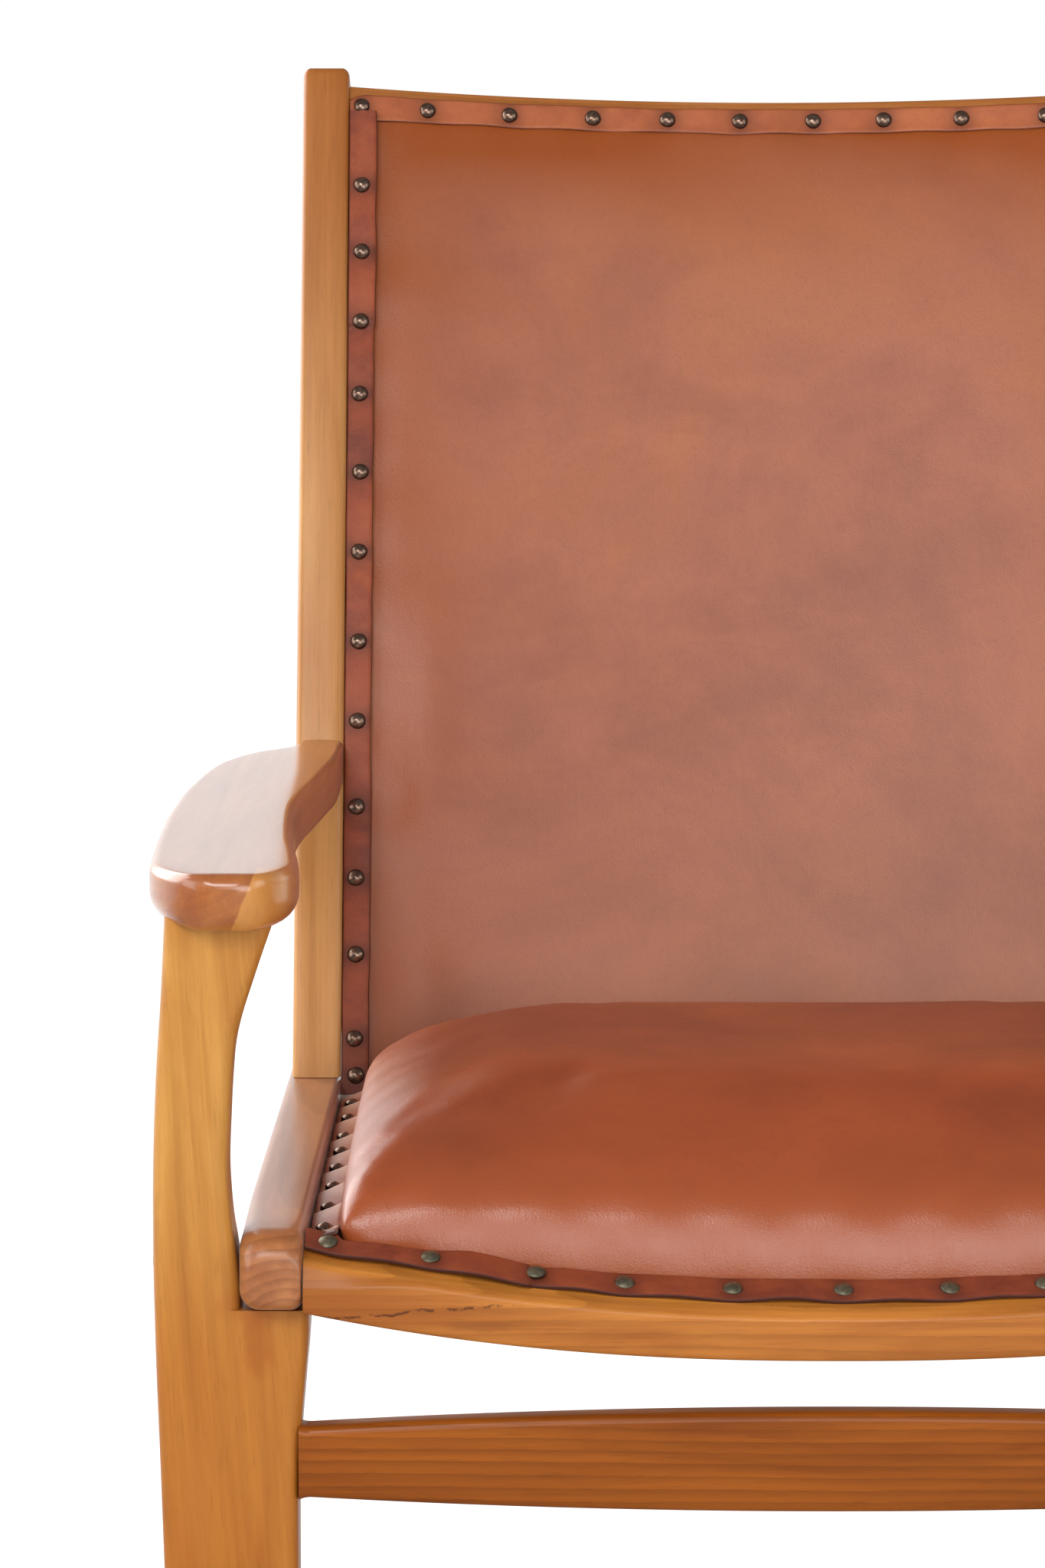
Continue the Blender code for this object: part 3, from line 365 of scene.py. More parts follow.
def ramp(value, *stops):
    made = value.tree.nodes.new("ShaderNodeValToRGB")
    elements = made.color_ramp.elements
    while len(elements) < len(stops):
        elements.new(0.5)
    for element, (place, color) in zip(elements, stops):
        element.position = place
        element.color = (*color, 1.0)
    feed(made.inputs["Fac"], value)
    return Value(made.outputs["Color"])


def rise(value, low, high):
    """From black to white between two values."""
    return ramp(value, (low, (0, 0, 0)), (high, (1, 1, 1)))


def mix(factor, a, b, blend="MIX"):
    return build(a.tree, "Mix", {0: factor, 6: a, 7: b}, 2, data_type="RGBA", blend_type=blend)


def tinted(color, mask, share, tint):
    """The colour, mixed with a tint by a share of a mask."""
    return mix(mask * share, color, tint)


def scaled(color, share):
    return tuple(c * share for c in color)


def attribute(tree, name):
    return build(tree, "Attribute", {}, "Fac", attribute_name=name)


def object_place(tree):
    return build(tree, "TexCoord", {}, "Object")


def bumped(height, strength, distance):
    return build(height.tree, "Bump", {"Height": height, "Strength": strength, "Distance": distance})


def mapped(vector, location=(0, 0, 0), rotation=(0, 0, 0), scale=(1, 1, 1)):
    inputs = {"Vector": vector, "Location": location, "Rotation": rotation, "Scale": scale}
    return build(vector.tree, "Mapping", inputs)


def noise_at(vector, scale, detail=3.0, roughness=0.55, distortion=0.0, output="Fac"):
    inputs = {
        "Vector": vector, "Scale": scale, "Detail": detail, "Roughness": roughness, "Distortion": distortion,
    }
    return build(vector.tree, "TexNoise", inputs, output)


def axis_value(vector, axis):
    return build(vector.tree, "SeparateXYZ", {0: vector}, axis)


def map_range(value, low, high, start=0.0, end=1.0):
    inputs = {"Value": value, "From Min": low, "From Max": high, "To Min": start, "To Max": end}
    return build(value.tree, "MapRange", inputs, interpolation_type="SMOOTHSTEP")


def jitter(place, scale, reach, detail=3.0, roughness=0.6):
    """Noise about 0, stretched along the axes, to make an outline ragged."""
    return (noise_at(mapped(place, scale=scale), 1.0, detail, roughness) - 0.5) * reach


def blotch(place, centre, radius, ragged):
    """1 at a point (across, up) of a front face, fading to 0 at a ragged outline round it."""
    a = calculate("DIVIDE", abs(axis_value(place, "X")) - centre[0], radius[0])
    b = calculate("DIVIDE", axis_value(place, "Z") - centre[1], radius[1])
    far = calculate("SQRT", a * a + b * b)
    return map_range(far + jitter(place, (60.0, 60.0, 30.0), ragged * 2), 1.0, 0.25)


def leg_figure_and_rail_shade(place, color):
    """A darker patch just below the side rail, a band of painted shade right under the rail, and a long
    darker flame further down.
    """
    # The second patch, at the rail's underside, is painted shade from the side rail.
    for centre, radius, ragged, share, tint in (
        ((0.2690, 0.391), (0.015, 0.022), 0.8, 0.62, (0.33, 0.090, 0.010)),
        ((0.2700, 0.408), (0.024, 0.012), 0.5, 0.60, (0.34, 0.090, 0.012)),
        ((0.3000, 0.300), (0.014, 0.080), 0.7, 0.42, (0.43, 0.140, 0.020)),
    ):
        color = tinted(color, blotch(place, centre, radius, ragged), share, tint)
    return color


def front_rail_figure(place, color):
    """A darker left end, a broken dark vein low on the face, and a small curl."""
    across = axis_value(place, "X")
    face = map_range(axis_value(place, "Y"), FRONT_Y + 0.012, FRONT_Y + 0.010)
    end = map_range(across, -0.150, -0.235) * face
    color = tinted(color, end, 0.55, (0.27, 0.072, 0.009))
    level = map_range(across, -0.236, -0.160, 0.4068, 0.4118)
    level = level + jitter(place, (60.0, 1.0, 1.0), 0.0050, 4.0, 0.7)
    vein = map_range(abs(axis_value(place, "Z") - level), 0.0011, 0.0002)
    dashes = noise_at(mapped(place, scale=(230.0, 1.0, 420.0), location=(3.0, 0.0, 0.0)), 1.0, 2.0, 0.6)
    for limit in (
        map_range(dashes, 0.44, 0.56),
        map_range(across, -0.140, -0.165),
        map_range(across, -0.249, -0.238),
        face,
    ):
        vein = vein * limit
    color = tinted(color, vein, 0.85, (0.085, 0.022, 0.006))
    curl = blotch(place, (0.166, 0.4025), (0.020, 0.0032), 0.9)
    return tinted(color, curl, 0.40, (0.20, 0.055, 0.010))


def arm_figure(place, color):
    """Paler wood on the inner half of the arm's end, up to a slanted line."""
    across = abs(axis_value(place, "X"))
    near = 0.5238 - axis_value(place, "Z") * 0.414 - across
    near = near + jitter(place, (90.0, 90.0, 90.0), 0.0030)
    end = map_range(axis_value(place, "Y"), FRONT_Y + 0.034, FRONT_Y + 0.012)
    pale = map_range(near, -0.0006, 0.0006) * end
    streaks = noise_at(mapped(place, scale=(45.0, 30.0, 18.0)), 1.0, 4.0, 0.6)
    gold = ramp(streaks, (0.35, (0.60, 0.27, 0.062)), (0.65, (0.47, 0.175, 0.032)))
    return tinted(color, pale, 0.88, gold)


LEG_LEAN = 0.07
GRAIN_TURNS = {
    "X": (0.0, 0.0, 0.0),
    "Y": (0.0, 0.0, -math.pi / 2),
    "Z": (0.0, math.pi / 2, 0.0),
    "LEG_LEFT": (0.0, math.pi / 2 + LEG_LEAN, 0.0),
    "LEG_RIGHT": (0.0, math.pi / 2 - LEG_LEAN, 0.0),
    "POST": (RECLINE, math.pi / 2, 0.0),
}


def teak(name, grain, colors, seed, rings, finish, lines=0.30, shade=(), figure=None):
    """Oiled and lacquered teak: growth rings round an axis along the grain, streaks and pores."""
    material, tree, shader = new_material(name)
    light, dark = colors
    place = object_place(tree)
    turned = mapped(place, rotation=GRAIN_TURNS[grain])
    shifted = mapped(turned, location=(seed * 0.37, seed * 0.011, seed * 0.017))

    def along_grain(length, width, *details):
        return noise_at(mapped(shifted, scale=(length, width, width)), 1.0, *details)

    pulled = build(tree, "VectorMath", {
        0: along_grain(2.2, 13.0, 2.0, 0.5, 0.0, "Color"),
        1: (0.0, 0.016, 0.016),
        2: mapped(turned, location=(0, rings[0], rings[1])),
    }, operation="MULTIPLY_ADD")
    growth = build(tree, "TexWave", {
        "Vector": pulled, "Scale": rings[2], "Distortion": 0.8,
        "Detail": 3.0, "Detail Scale": 1.6, "Detail Roughness": 0.7,
    }, "Fac", wave_type="RINGS", rings_direction="X", wave_profile="SAW")
    fine = along_grain(7.0, 430.0, 3.0, 0.6)
    streaks = along_grain(4.0, 85.0, 5.0, 0.62, 0.5)
    broad = along_grain(4.0, 22.0, 4.0, 0.60, 0.9)
    pores = rise(along_grain(55.0, 1500.0, 1.0, 0.5), 0.62, 0.72)
    middle = tuple((a + b) / 2 for a, b in zip(light, dark))
    color = ramp(broad, (0.34, light), (0.52, middle), (0.68, dark))
    for mask, share, tint in (
        (rise(streaks, 0.40, 0.68), 0.40, scaled(dark, 0.80)),
        (rise(fine, 0.50, 0.75), 0.30, scaled(light, 1.12)),
        (rise(growth, 0.30, 0.94), lines, scaled(dark, 0.55)),
        (pores, 0.20, scaled(dark, 0.38)),
    ):
        color = tinted(color, mask, share, tint)
    # Painted shade: the colour darkens by a tint between two heights
    for start, end, tint in shade:
        share = map_range(axis_value(place, "Z"), start, end)
        color = mix(share, color, mix(1.0, color, tint, "MULTIPLY"))
    if figure:
        color = figure(place, color)
    roughness, specular, coat, coat_roughness, coat_ior, sheen = finish
    connect(
        shader, Base_Color=color, Roughness=streaks * 0.14 + (roughness - 0.07),
        Normal=bumped(fine - pores * 0.6, 0.12, 0.0005), Specular_IOR_Level=specular,
        Coat_Weight=coat, Coat_Roughness=coat_roughness, Coat_IOR=coat_ior,
        Sheen_Weight=sheen, Sheen_Roughness=0.25,
    )
    return material


def leather(name, colors, edge_color, scale, roughness, seed, smoke=0.0, specular=0.52, painted_highlight_color=None):
    """Smooth waxed leather: mottled colour, fine pebbled grain, and the edge colour where "edge" says."""
    material, tree, shader = new_material(name)
    base, warm, dark = colors
    shifted = mapped(object_place(tree), location=(seed, seed * 0.7, seed * 0.3))
    cloud = noise_at(shifted, 5.0 * scale, 5.0, 0.6, 0.5)
    patch = noise_at(mapped(shifted, scale=(1.0, 1.6, 2.2)), 13.0 * scale, 4.0, 0.62, 0.8)
    speck = noise_at(shifted, 260.0, 3.0, 0.7)
    color = ramp(cloud, (0.32, dark), (0.50, base), (0.70, warm))
    color = tinted(color, rise(patch, 0.42, 0.72), 0.35, warm)
    if smoke:
        drifted = mapped(shifted, location=(2.0, 5.0, 1.0), scale=(1.0, 1.0, 1.5))
        haze = noise_at(drifted, 8.0 * scale, 5.0, 0.62, 0.35)
        color = tinted(color, rise(haze, 0.47, 0.66), smoke, scaled(dark, 0.66))
    color = tinted(color, rise(speck, 0.52, 0.75), 0.16, scaled(dark, 0.55))
    # Painted highlight colour on the seat strips' folds
    if painted_highlight_color:
        color = mix(attribute(tree, "pale"), color, painted_highlight_color)
    # The edge colour carries painted shade on the strips and partly on the back pad
    color = mix(attribute(tree, "edge"), color, edge_color)
    cells = build(
        tree, "TexVoronoi", {"Vector": shifted, "Scale": 620.0, "Randomness": 1.0}, "Distance",
        feature="DISTANCE_TO_EDGE",
    )
    creases = noise_at(mapped(shifted, scale=(1.0, 1.0, 0.45)), 150.0, 5.0, 0.65, 1.5)
    connect(
        shader, Base_Color=color, Roughness=creases * 0.14 + (roughness - 0.07),
        Normal=bumped(cells * 0.8 + creases, 0.20, 0.0006), Specular_IOR_Level=specular,
    )
    return material


def bronze(name, base, bright, painted_rim_shade, roughness):
    """Aged bronze nail heads, with painted shade darkening them round the rim where they meet the leather."""
    material, tree, shader = new_material(name)
    spots = noise_at(object_place(tree), 420.0, 3.0, 0.6)
    color = mix(attribute(tree, "rim"), ramp(spots, (0.40, base), (0.66, bright)), painted_rim_shade)
    connect(shader, Base_Color=color, Roughness=spots * 0.2 + (roughness - 0.1), Metallic=0.85)
    return material


def simple_material(name, light, dark, scale, roughness, bump_strength=0.2, stretch=(1, 1, 1)):
    material, tree, shader = new_material(name)
    grain = noise_at(mapped(object_place(tree), scale=stretch), scale, 4.0, 0.6)
    color = ramp(grain, (0.35, dark), (0.65, light))
    connect(shader, Base_Color=color, Roughness=roughness, Normal=bumped(grain, bump_strength, 0.0005))
    return material


# Teak colours, light and dark
GOLD = ((0.57, 0.275, 0.060), (0.41, 0.148, 0.022))
# The posts' colours are brighter than the other teak: painted light on the posts' lower part, which their
# painted shade takes back higher up
POST = ((0.66, 0.335, 0.115), (0.50, 0.205, 0.052))
RAIL = ((0.44, 0.165, 0.055), (0.27, 0.080, 0.024))
ARM = ((0.44, 0.150, 0.038), (0.30, 0.078, 0.017))
FRONT = ((0.58, 0.215, 0.034), (0.34, 0.095, 0.012))
STRETCHER = ((0.33, 0.088, 0.007), (0.19, 0.042, 0.003))
TOP = ((0.44, 0.165, 0.048), (0.33, 0.105, 0.024))
REAR = ((0.46, 0.175, 0.036), (0.30, 0.090, 0.015))
# Finishes: roughness, specular, coat, coat roughness, coat IOR, sheen
SATIN = (0.42, 0.20, 0.30, 0.24, 1.5, 0.0)
MATT = (0.66, 0.05, 0.0, 0.3, 1.5, 0.0)
SOFT_GLOSS = (0.38, 0.30, 0.62, 0.30, 1.5, 0.12)
GLOSS = (0.40, 0.12, 0.30, 0.20, 1.5, 0.0)
ARM_GLOSS = (0.38, 0.30, 1.0, 0.19, 1.6, 0.03)
# Painted shade: tints that fade in between two heights, darkening the legs towards the floor and the posts
# from the arms' height up, darkest at their tops
LEG_PAINTED_SHADE = ((0.49, 0.37, (0.82, 0.64, 0.42)), (0.36, 0.22, (0.96, 0.90, 0.66)))
POST_PAINTED_SHADE = ((0.48, 0.66, (0.86, 0.86, 0.86)), (0.72, 0.97, (0.74, 0.52, 0.31)))

leg_teak, post_teak, rail_teak, arm_teak, rear_leg_teak = {}, {}, {}, {}, {}
for s, n in SIDES:
    leg_teak[n] = teak(
        f"leg_teak_{n}", f"LEG_{n.upper()}", GOLD, 1.0 + s, (s * 0.30, 0.46, 50.0),
        SATIN, 0.10, LEG_PAINTED_SHADE, leg_figure_and_rail_shade,
    )
    post_teak[n] = teak(
        f"post_teak_{n}", "POST", POST, 4.0 + s, (s * 0.21, 0.10, 46.0), SATIN, 0.10, POST_PAINTED_SHADE,
    )
    rail_teak[n] = teak(f"rail_teak_{n}", "Y", RAIL, 7.0 + s, (s * 0.262, -0.398, 66.0), SOFT_GLOSS, 0.38)
    arm_teak[n] = teak(
        f"arm_teak_{n}", "Y", ARM, 9.0 + s, (s * 0.34, -0.70, 52.0), ARM_GLOSS, 0.14, figure=arm_figure,
    )
    rear_leg_teak[n] = teak(
        f"rear_leg_teak_{n}", "Z", GOLD, 20.0 + s, (s * 0.24, -0.30, 50.0), SATIN, 0.13, LEG_PAINTED_SHADE,
    )
front_teak = teak("front_rail_teak", "X", FRONT, 12.0, (0.30, -0.34, 60.0), SATIN, figure=front_rail_figure)
stretcher_teak = teak("stretcher_teak", "X", STRETCHER, 14.0, (0.34, -0.24, 52.0), GLOSS, 0.34)
top_teak = teak("top_rail_teak", "X", TOP, 16.0, (-0.30, -0.90, 50.0), MATT)
rear_teak = teak("rear_teak", "X", REAR, 18.0, (-0.10, -0.30, 50.0), SATIN)

# Leather colours: base, warm and dark, then the edge's, which is painted shade on the strips and partly on
# the back pad
back_leather = leather(
    "back_leather", ((0.385, 0.134, 0.074), (0.430, 0.148, 0.066), (0.295, 0.098, 0.060)),
    (0.290, 0.062, 0.008), 1.0, 0.40, 1.3, 0.26, 0.44,
)
seat_leather = leather(
    "seat_leather", ((0.260, 0.046, 0.014), (0.34, 0.068, 0.018), (0.190, 0.034, 0.012)),
    (0.35, 0.078, 0.019), 1.2, 0.32, 5.1, 0.30, 0.68,
)
strip_leather = leather(
    "strip_leather", ((0.245, 0.050, 0.021), (0.31, 0.070, 0.026), (0.150, 0.031, 0.017)),
    (0.060, 0.016, 0.010), 4.0, 0.42, 9.7, 0.35, 0.24,
)
top_strip_leather = leather(
    "top_strip_leather", ((0.40, 0.108, 0.040), (0.45, 0.130, 0.045), (0.33, 0.082, 0.034)),
    (0.13, 0.034, 0.016), 4.0, 0.40, 3.9, 0.30, 0.36,
)
seat_strip_leather = leather(
    "seat_strip_leather", ((0.32, 0.100, 0.060), (0.38, 0.125, 0.075), (0.24, 0.070, 0.042)),
    (0.060, 0.018, 0.012), 5.0, 0.36, 6.4, painted_highlight_color=(0.60, 0.40, 0.31),
)
nail_bronze = bronze("nail_bronze", (0.19, 0.115, 0.082), (0.30, 0.20, 0.15), (0.020, 0.011, 0.008), 0.27)
front_bronze = bronze("front_nail_bronze", (0.17, 0.15, 0.10), (0.27, 0.24, 0.16), (0.08, 0.065, 0.045), 0.44)
plywood = simple_material("plywood", (0.52, 0.36, 0.20), (0.40, 0.26, 0.13), 30.0, 0.62, 0.2, (1, 8, 8))
lining = simple_material("lining_cloth", (0.060, 0.045, 0.036), (0.030, 0.022, 0.018), 900.0, 0.85, 0.6)
glide_plastic = simple_material("glide_plastic", (0.045, 0.040, 0.036), (0.030, 0.027, 0.025), 300.0, 0.55)


# Wooden frame

ARM_CROWN = 0.0006
STRETCHER_HALF = 0.011
REAR_STRETCHER_HEIGHT = 0.318
REAR_LEG_TOP = SEAT_HEIGHT - RAIL_HEIGHT - REAR_LEG_PLACE * math.tan(SLOPE)
# Depth below the leg's face, or height above the floor, and radius
PLUG_PROFILE = ((0.012, 0.0047), (-0.0001, 0.0047), (-0.0004, 0.0043), (-0.0006, 0.0030), (-0.0007, 0.0012))
GLIDE_PROFILE = ((0.0, 0.0090), (0.0004, 0.0102), (0.0014, 0.0109), (0.0040, 0.0110), (0.0043, 0.0100))


def arm_ring(side, place):
    """One section of an arm, full round at its tip; its rear end follows the post's slanted face."""
    def tip(amount, reach):
        return amount * (1 - rounded(place, reach))

    outer = RAIL_OUTER + smooth_value(ARM_EDGES, place, 1) - tip(0.0305, ARM_TIP)
    inner = RAIL_OUTER + smooth_value(ARM_EDGES, place, 2) + tip(0.0262, 0.044)
    low = ARM_HEIGHT - ARM_THICKNESS + tip(0.0120, 0.014)
    high = ARM_HEIGHT - tip(0.0065, 0.008)
    width = outer - inner
    rear = ease(place, 0.42, 0.50)
    under = (0.0185 - 0.0125 * ease(place, 0.05, 0.17), 0.0185 - 0.006 * ease(place, 0.30, 0.50))
    over = (0.0055 - 0.0035 * rear, 0.0055 - 0.002 * rear)
    radii = [min(radius, width * 0.45) for radius in under] + [min(radius, width * 0.2) for radius in over]
    last = ARM_EDGES[-1][0]
    follow = ease(place, last - 0.12, last - 0.04)
    ring = []
    for x, z in outline(inner, outer, low, high, radii, steps=8, flats=5):
        post_face = POST_ORIGIN.y + (z - POST_ORIGIN.z) * math.tan(RECLINE)
        end_shift = post_face - 0.0002 - (FRONT_Y + last)
        reach = (x - (inner + outer) / 2) / (width / 2)
        crown = ARM_CROWN * (1 - reach * reach) if z > high - 0.001 else 0.0
        ring.append((side * x, FRONT_Y + place + end_shift * follow, z - ARM_CROWN + crown))
    return ring


def make_arms():
    nose = [ARM_TIP * (1 - math.cos(math.pi / 2 * k / 28)) for k in range(28)]
    places = nose + spread(ARM_TIP + 0.0005, ARM_EDGES[-1][0], 64)
    for side, name in SIDES:
        rings = [arm_ring(side, place) for place in places]
        loft(f"arm_wood_{name}", rings, arm_teak[name], [f"arm_{name}", f"arm_dowel_{name}"])


def leg_section(side, height, inset=0.0, inner=None):
    outer = RAIL_OUTER + smooth_value(LEG_EDGES, height, 1)
    if inner is None:
        inner = RAIL_OUTER + smooth_value(LEG_EDGES, height, 2)
    radii = (0.0060, 0.0085, 0.0070, 0.0060)
    points = outline(inner, outer, LEG_FRONT, LEG_FRONT + LEG_THICKNESS, radii, inset, flats=3)
    return [(side * a, b, height) for a, b in points]


def make_front_legs():
    """Shaped boards with a shoulder under the side rail; the upper part runs up beside it."""
    shoulder = SEAT_HEIGHT - RAIL_HEIGHT - 0.0014
    peg_y = LEG_FRONT + LEG_THICKNESS / 2
    peg_z = SEAT_HEIGHT - RAIL_HEIGHT / 2
    outer = RAIL_OUTER + smooth_value(LEG_EDGES, peg_z, 1)
    for side, name in SIDES:
        lower = ends(LEG_BASE, shoulder, 0.003, 0.0, 40, 4)[:-5]
        rings = [leg_section(side, height, inset) for height, inset in lower]
        rings.append(leg_section(side, shoulder))
        rings.append(leg_section(side, shoulder + 0.0001, 0.0, RAIL_OUTER - 0.0002))
        for height in spread(0.4165, 0.600, 48):
            rings.append(leg_section(side, height, 0.0, RAIL_OUTER + smooth_value(UPPER_LEG_EDGE, height, 1)))
        loft(f"leg_wood_{name}", rings, leg_teak[name], [f"front_leg_{name}"])
        rings = [
            [(side * (outer - depth), peg_y + radius * c, peg_z + radius * s) for _, c, s in circle(24)]
            for depth, radius in PLUG_PROFILE
        ]
        loft(f"leg_plug_{name}", rings, rear_teak, [f"leg_peg_{name}"])


def make_side_rails():
    turns = [math.pi / 2 * k / 12 for k in range(12)]
    places = [(RAIL_NOSE * (1 - math.cos(turn)), RAIL_NOSE * (1 - math.sin(turn))) for turn in turns]
    places += [(p, 0.0) for p in spread(RAIL_NOSE + 0.001, RAIL_LENGTH - 0.002, 24)]
    places += [(RAIL_LENGTH - 0.0006, 0.0006), (RAIL_LENGTH, 0.0018)]
    for side, name in SIDES:
        rings = []
        for place, shrink in places:
            upper = (0.0055 + 0.0050 * ease(place, 0.14, 0.0), 0.0040 + 0.0030 * ease(place, 0.06, 0.0))
            points = outline(
                RAIL_INNER + shrink * 0.06, RAIL_OUTER - shrink * 0.34,
                -RAIL_HEIGHT + shrink * 0.36, -shrink * 0.62, (0.0060, 0.0090, *upper), steps=7, flats=3,
            )
            rings.append([seat_point(side * a, place, b) for a, b in points])
        loft(f"side_rail_wood_{name}", rings, rail_teak[name], [f"side_rail_{name}"])


def make_posts():
    """Reclined posts whose feet stand on the rails' tops."""
    foot = math.tan(RECLINE - SLOPE)
    for side, name in SIDES:
        rings = []
        for place, inset in ends(0.0, POST_LENGTH, 0.0004, 0.0060, 40, 7):
            slant = foot * max(0.0, 1 - place / 0.06)
            points = outline(RAIL_INNER, POST_OUTER, 0.0, POST_DEPTH, (0.0042,) * 4, inset, flats=3)
            rings.append([back_point(side * a, b, place + b * slant + 0.0002) for a, b in points])
        loft(f"post_wood_{name}", rings, post_teak[name], [f"back_post_{name}"])


def cross_rings(section, half, count, dense_ends=False):
    """Sections of a piece across the chair."""
    shares = spread(-1.0, 1.0, count)
    if dense_ends:
        shares = [math.sin(share * math.pi / 2) for share in shares]
    return [section(half * share) for share in shares]


def front_sunk(x):
    """How far the front rail's top lies below the side rails' tops at x, but for a constant."""
    return dip(x, SEAT_DIP) + 0.0026 * ease(abs(x), 0.195, RAIL_INNER)


def make_cross_rails():
    half = RAIL_INNER - 0.0001

    def front_section(x):
        low = -RAIL_HEIGHT + 0.0005 - dip(x, RAIL_BELLY)
        sunk = front_sunk(x)
        bevel = 0.0099 * max(0.0, (abs(x) - 0.190) / (RAIL_INNER - 0.190))
        step = 0.0024 - 0.0010 * ease(abs(x), 0.05, 0.19)
        corners = (
            (0.002, low), (0.002, -0.0110 - sunk - step - bevel), (0.0062, -0.0110 - sunk),
            (0.013, -0.0096 - sunk), (0.032, -0.0014 - sunk), (0.032, low),
        )
        points = round_off(corners, (0.0035, 0.0030, 0.0050, 0.006, 0.002, 0.003), 7)
        return [seat_point(x, y, z) for y, z in points]

    loft("front_rail_wood", cross_rings(front_section, half, 81), front_teak, ["front_rail"])

    def rear_section(x):
        high = board_level(x) - 0.009 - GAP
        points = outline(0.448, 0.472, high - 0.026, high, (0.003, 0.003, 0.001, 0.001), steps=4)
        return [seat_point(x, y, z) for y, z in points]

    loft("rear_rail_wood", cross_rings(rear_section, half, 41), rear_teak, ["rear_rail"])

    for name, s0, s1 in (("top_rail", 0.528, TOP_RAIL_TOP), ("lower_back_rail", 0.030, 0.080)):
        def back_section(x):
            front = BACK_RECESS + GAP + bend(x)
            points = outline(front, front + BACK_RAIL_THICKNESS, s0, s1, (0.003,) * 4, flats=2)
            return [back_point(x, d, s) for d, s in points]

        loft(f"{name}_wood", cross_rings(back_section, half, 61), top_teak, [name])


def make_stretcher(name, half, y_middle, height):
    """A lens-shaped bar whose top slopes down to the rear and whose ends flare a little."""
    def section(x):
        tall = 0.017 + 0.00725 * (1 - min(abs(x) / half, 1.0) ** 2)
        flare = 0.0014 * max(0.0, (abs(x) - half + 0.006) / 0.006) ** 2
        deep = STRETCHER_HALF + flare * 0.4
        points = outline(
            y_middle - deep, y_middle + deep, height - tall - flare, height + tall + flare,
            (0.0042, 0.0042, 0.0048, 0.0048), flats=3,
        )
        ring = []
        for y, z in points:
            fall = max(0.0, z - height) / tall * (y - y_middle + STRETCHER_HALF) * 0.105
            ring.append((x, y, z - fall))
        return ring

    loft(f"{name}_wood", cross_rings(section, half, 121, True), stretcher_teak, [name])


def rear_leg_point(height):
    """A rear leg's middle across and back, and half its depth, at a height."""
    drop = max(REAR_LEG_TOP - height, 0.0)
    out = (RAIL_INNER + RAIL_OUTER) / 2 + smooth_value(REAR_LEG_PATH, drop, 1)
    y = SEAT_ORIGIN.y + REAR_LEG_PLACE + smooth_value(REAR_LEG_PATH, drop, 2)
    return out, y, smooth_value(REAR_LEG_PATH, drop, 3) / 2


def make_stretchers():
    make_stretcher("front_stretcher", RAIL_OUTER - 0.0270, FRONT_Y + 0.0325, 0.334)
    out, y, _ = rear_leg_point(REAR_STRETCHER_HEIGHT)
    make_stretcher("rear_stretcher", out - 0.0146, y, REAR_STRETCHER_HEIGHT)


def make_rear_legs():
    for side, name in SIDES:
        rings = []
        for height, inset in ends(LEG_BASE, REAR_LEG_TOP + 0.006, 0.003, 0.0002, 48, 4):
            out, y, half = rear_leg_point(height)
            points = outline(out - 0.015, out + 0.015, y - half, y + half, (0.005,) * 4, inset, flats=3)
            rings.append([(side * a, b, height) for a, b in points])
        loft(f"rear_leg_wood_{name}", rings, rear_leg_teak[name], [f"rear_leg_{name}"])


def make_glides():
    for where in ("front", "rear"):
        for _, name in SIDES:
            low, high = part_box(f"glide_{where}_{name}")
            middle = (low + high) / 2
            rings = [
                [(middle.x + radius * c, middle.y + radius * s, z) for _, c, s in circle(32)]
                for z, radius in GLIDE_PROFILE
            ]
            loft(f"glide_pad_{where}_{name}", rings, glide_plastic, [f"glide_{where}_{name}"])


# Leather strips and nails

TOP_NAILS = (
    -0.2420, -0.2034, -0.1554, -0.1061, -0.0620, -0.0191, 0.0243, 0.0659, 0.1115, 0.1607, 0.2020, 0.2420,
)
FRONT_NAILS = (-0.2382, -0.1905, -0.1414, -0.1001, -0.0499, 0.0017, 0.0512, 0.0953, 0.1420, 0.1900, 0.2380)
POST_NAILS = (
    0.0021, 0.0229, 0.0708, 0.1147, 0.1558, 0.2057, 0.2523, 0.3053, 0.3529, 0.3999, 0.4434, 0.4858, 0.5267,
)
SEAT_NAILS = (-0.2908, -0.2398, -0.1849, -0.1348, -0.0867, -0.0426, 0.0157, 0.0640)
# Distance from the middle, then how far the front strip's upper edge lies outside its width
FRONT_STRIP_EDGE = (
    (0.0850, 0.0012), (0.1100, 0.0002), (0.1280, 0.0004), (0.1460, -0.0014), (0.1550, 0.0004),
    (0.1720, 0.0028), (0.1880, -0.0010), (0.2000, -0.0024), (0.2150, -0.0020), (0.2310, -0.0030),
    (0.2345, 0.0010), (0.2490, 0.0014),
)
# Level, share of the radius, and how dark a nail head is there, painted shade towards the leather
NAIL_PROFILE = (
    (-0.0014, 0.93, 1.0), (0.0, 1.0, 1.0), (0.00035, 1.0, 1.0), (0.00075, 0.965, 0.85), (0.0013, 0.86, 0.35),
    (0.0019, 0.70, 0.08), (0.0025, 0.47, 0.0), (0.00285, 0.24, 0.0), (0.0030, 0.07, 0.0),
)
TRIM = 0.0152
STRIP = 0.0019
SEAT_STRIP = 0.0015
POST_LAP = 0.4434
FRONT_LAP = -0.1440
POST_LAP_RISE = 0.0013
FRONT_LAP_RISE = 0.0015
STRIP_HALF = RAIL_INNER - 0.0004
SIDE_MIDDLE = (BATTEN_INNER + RAIL_INNER) / 2


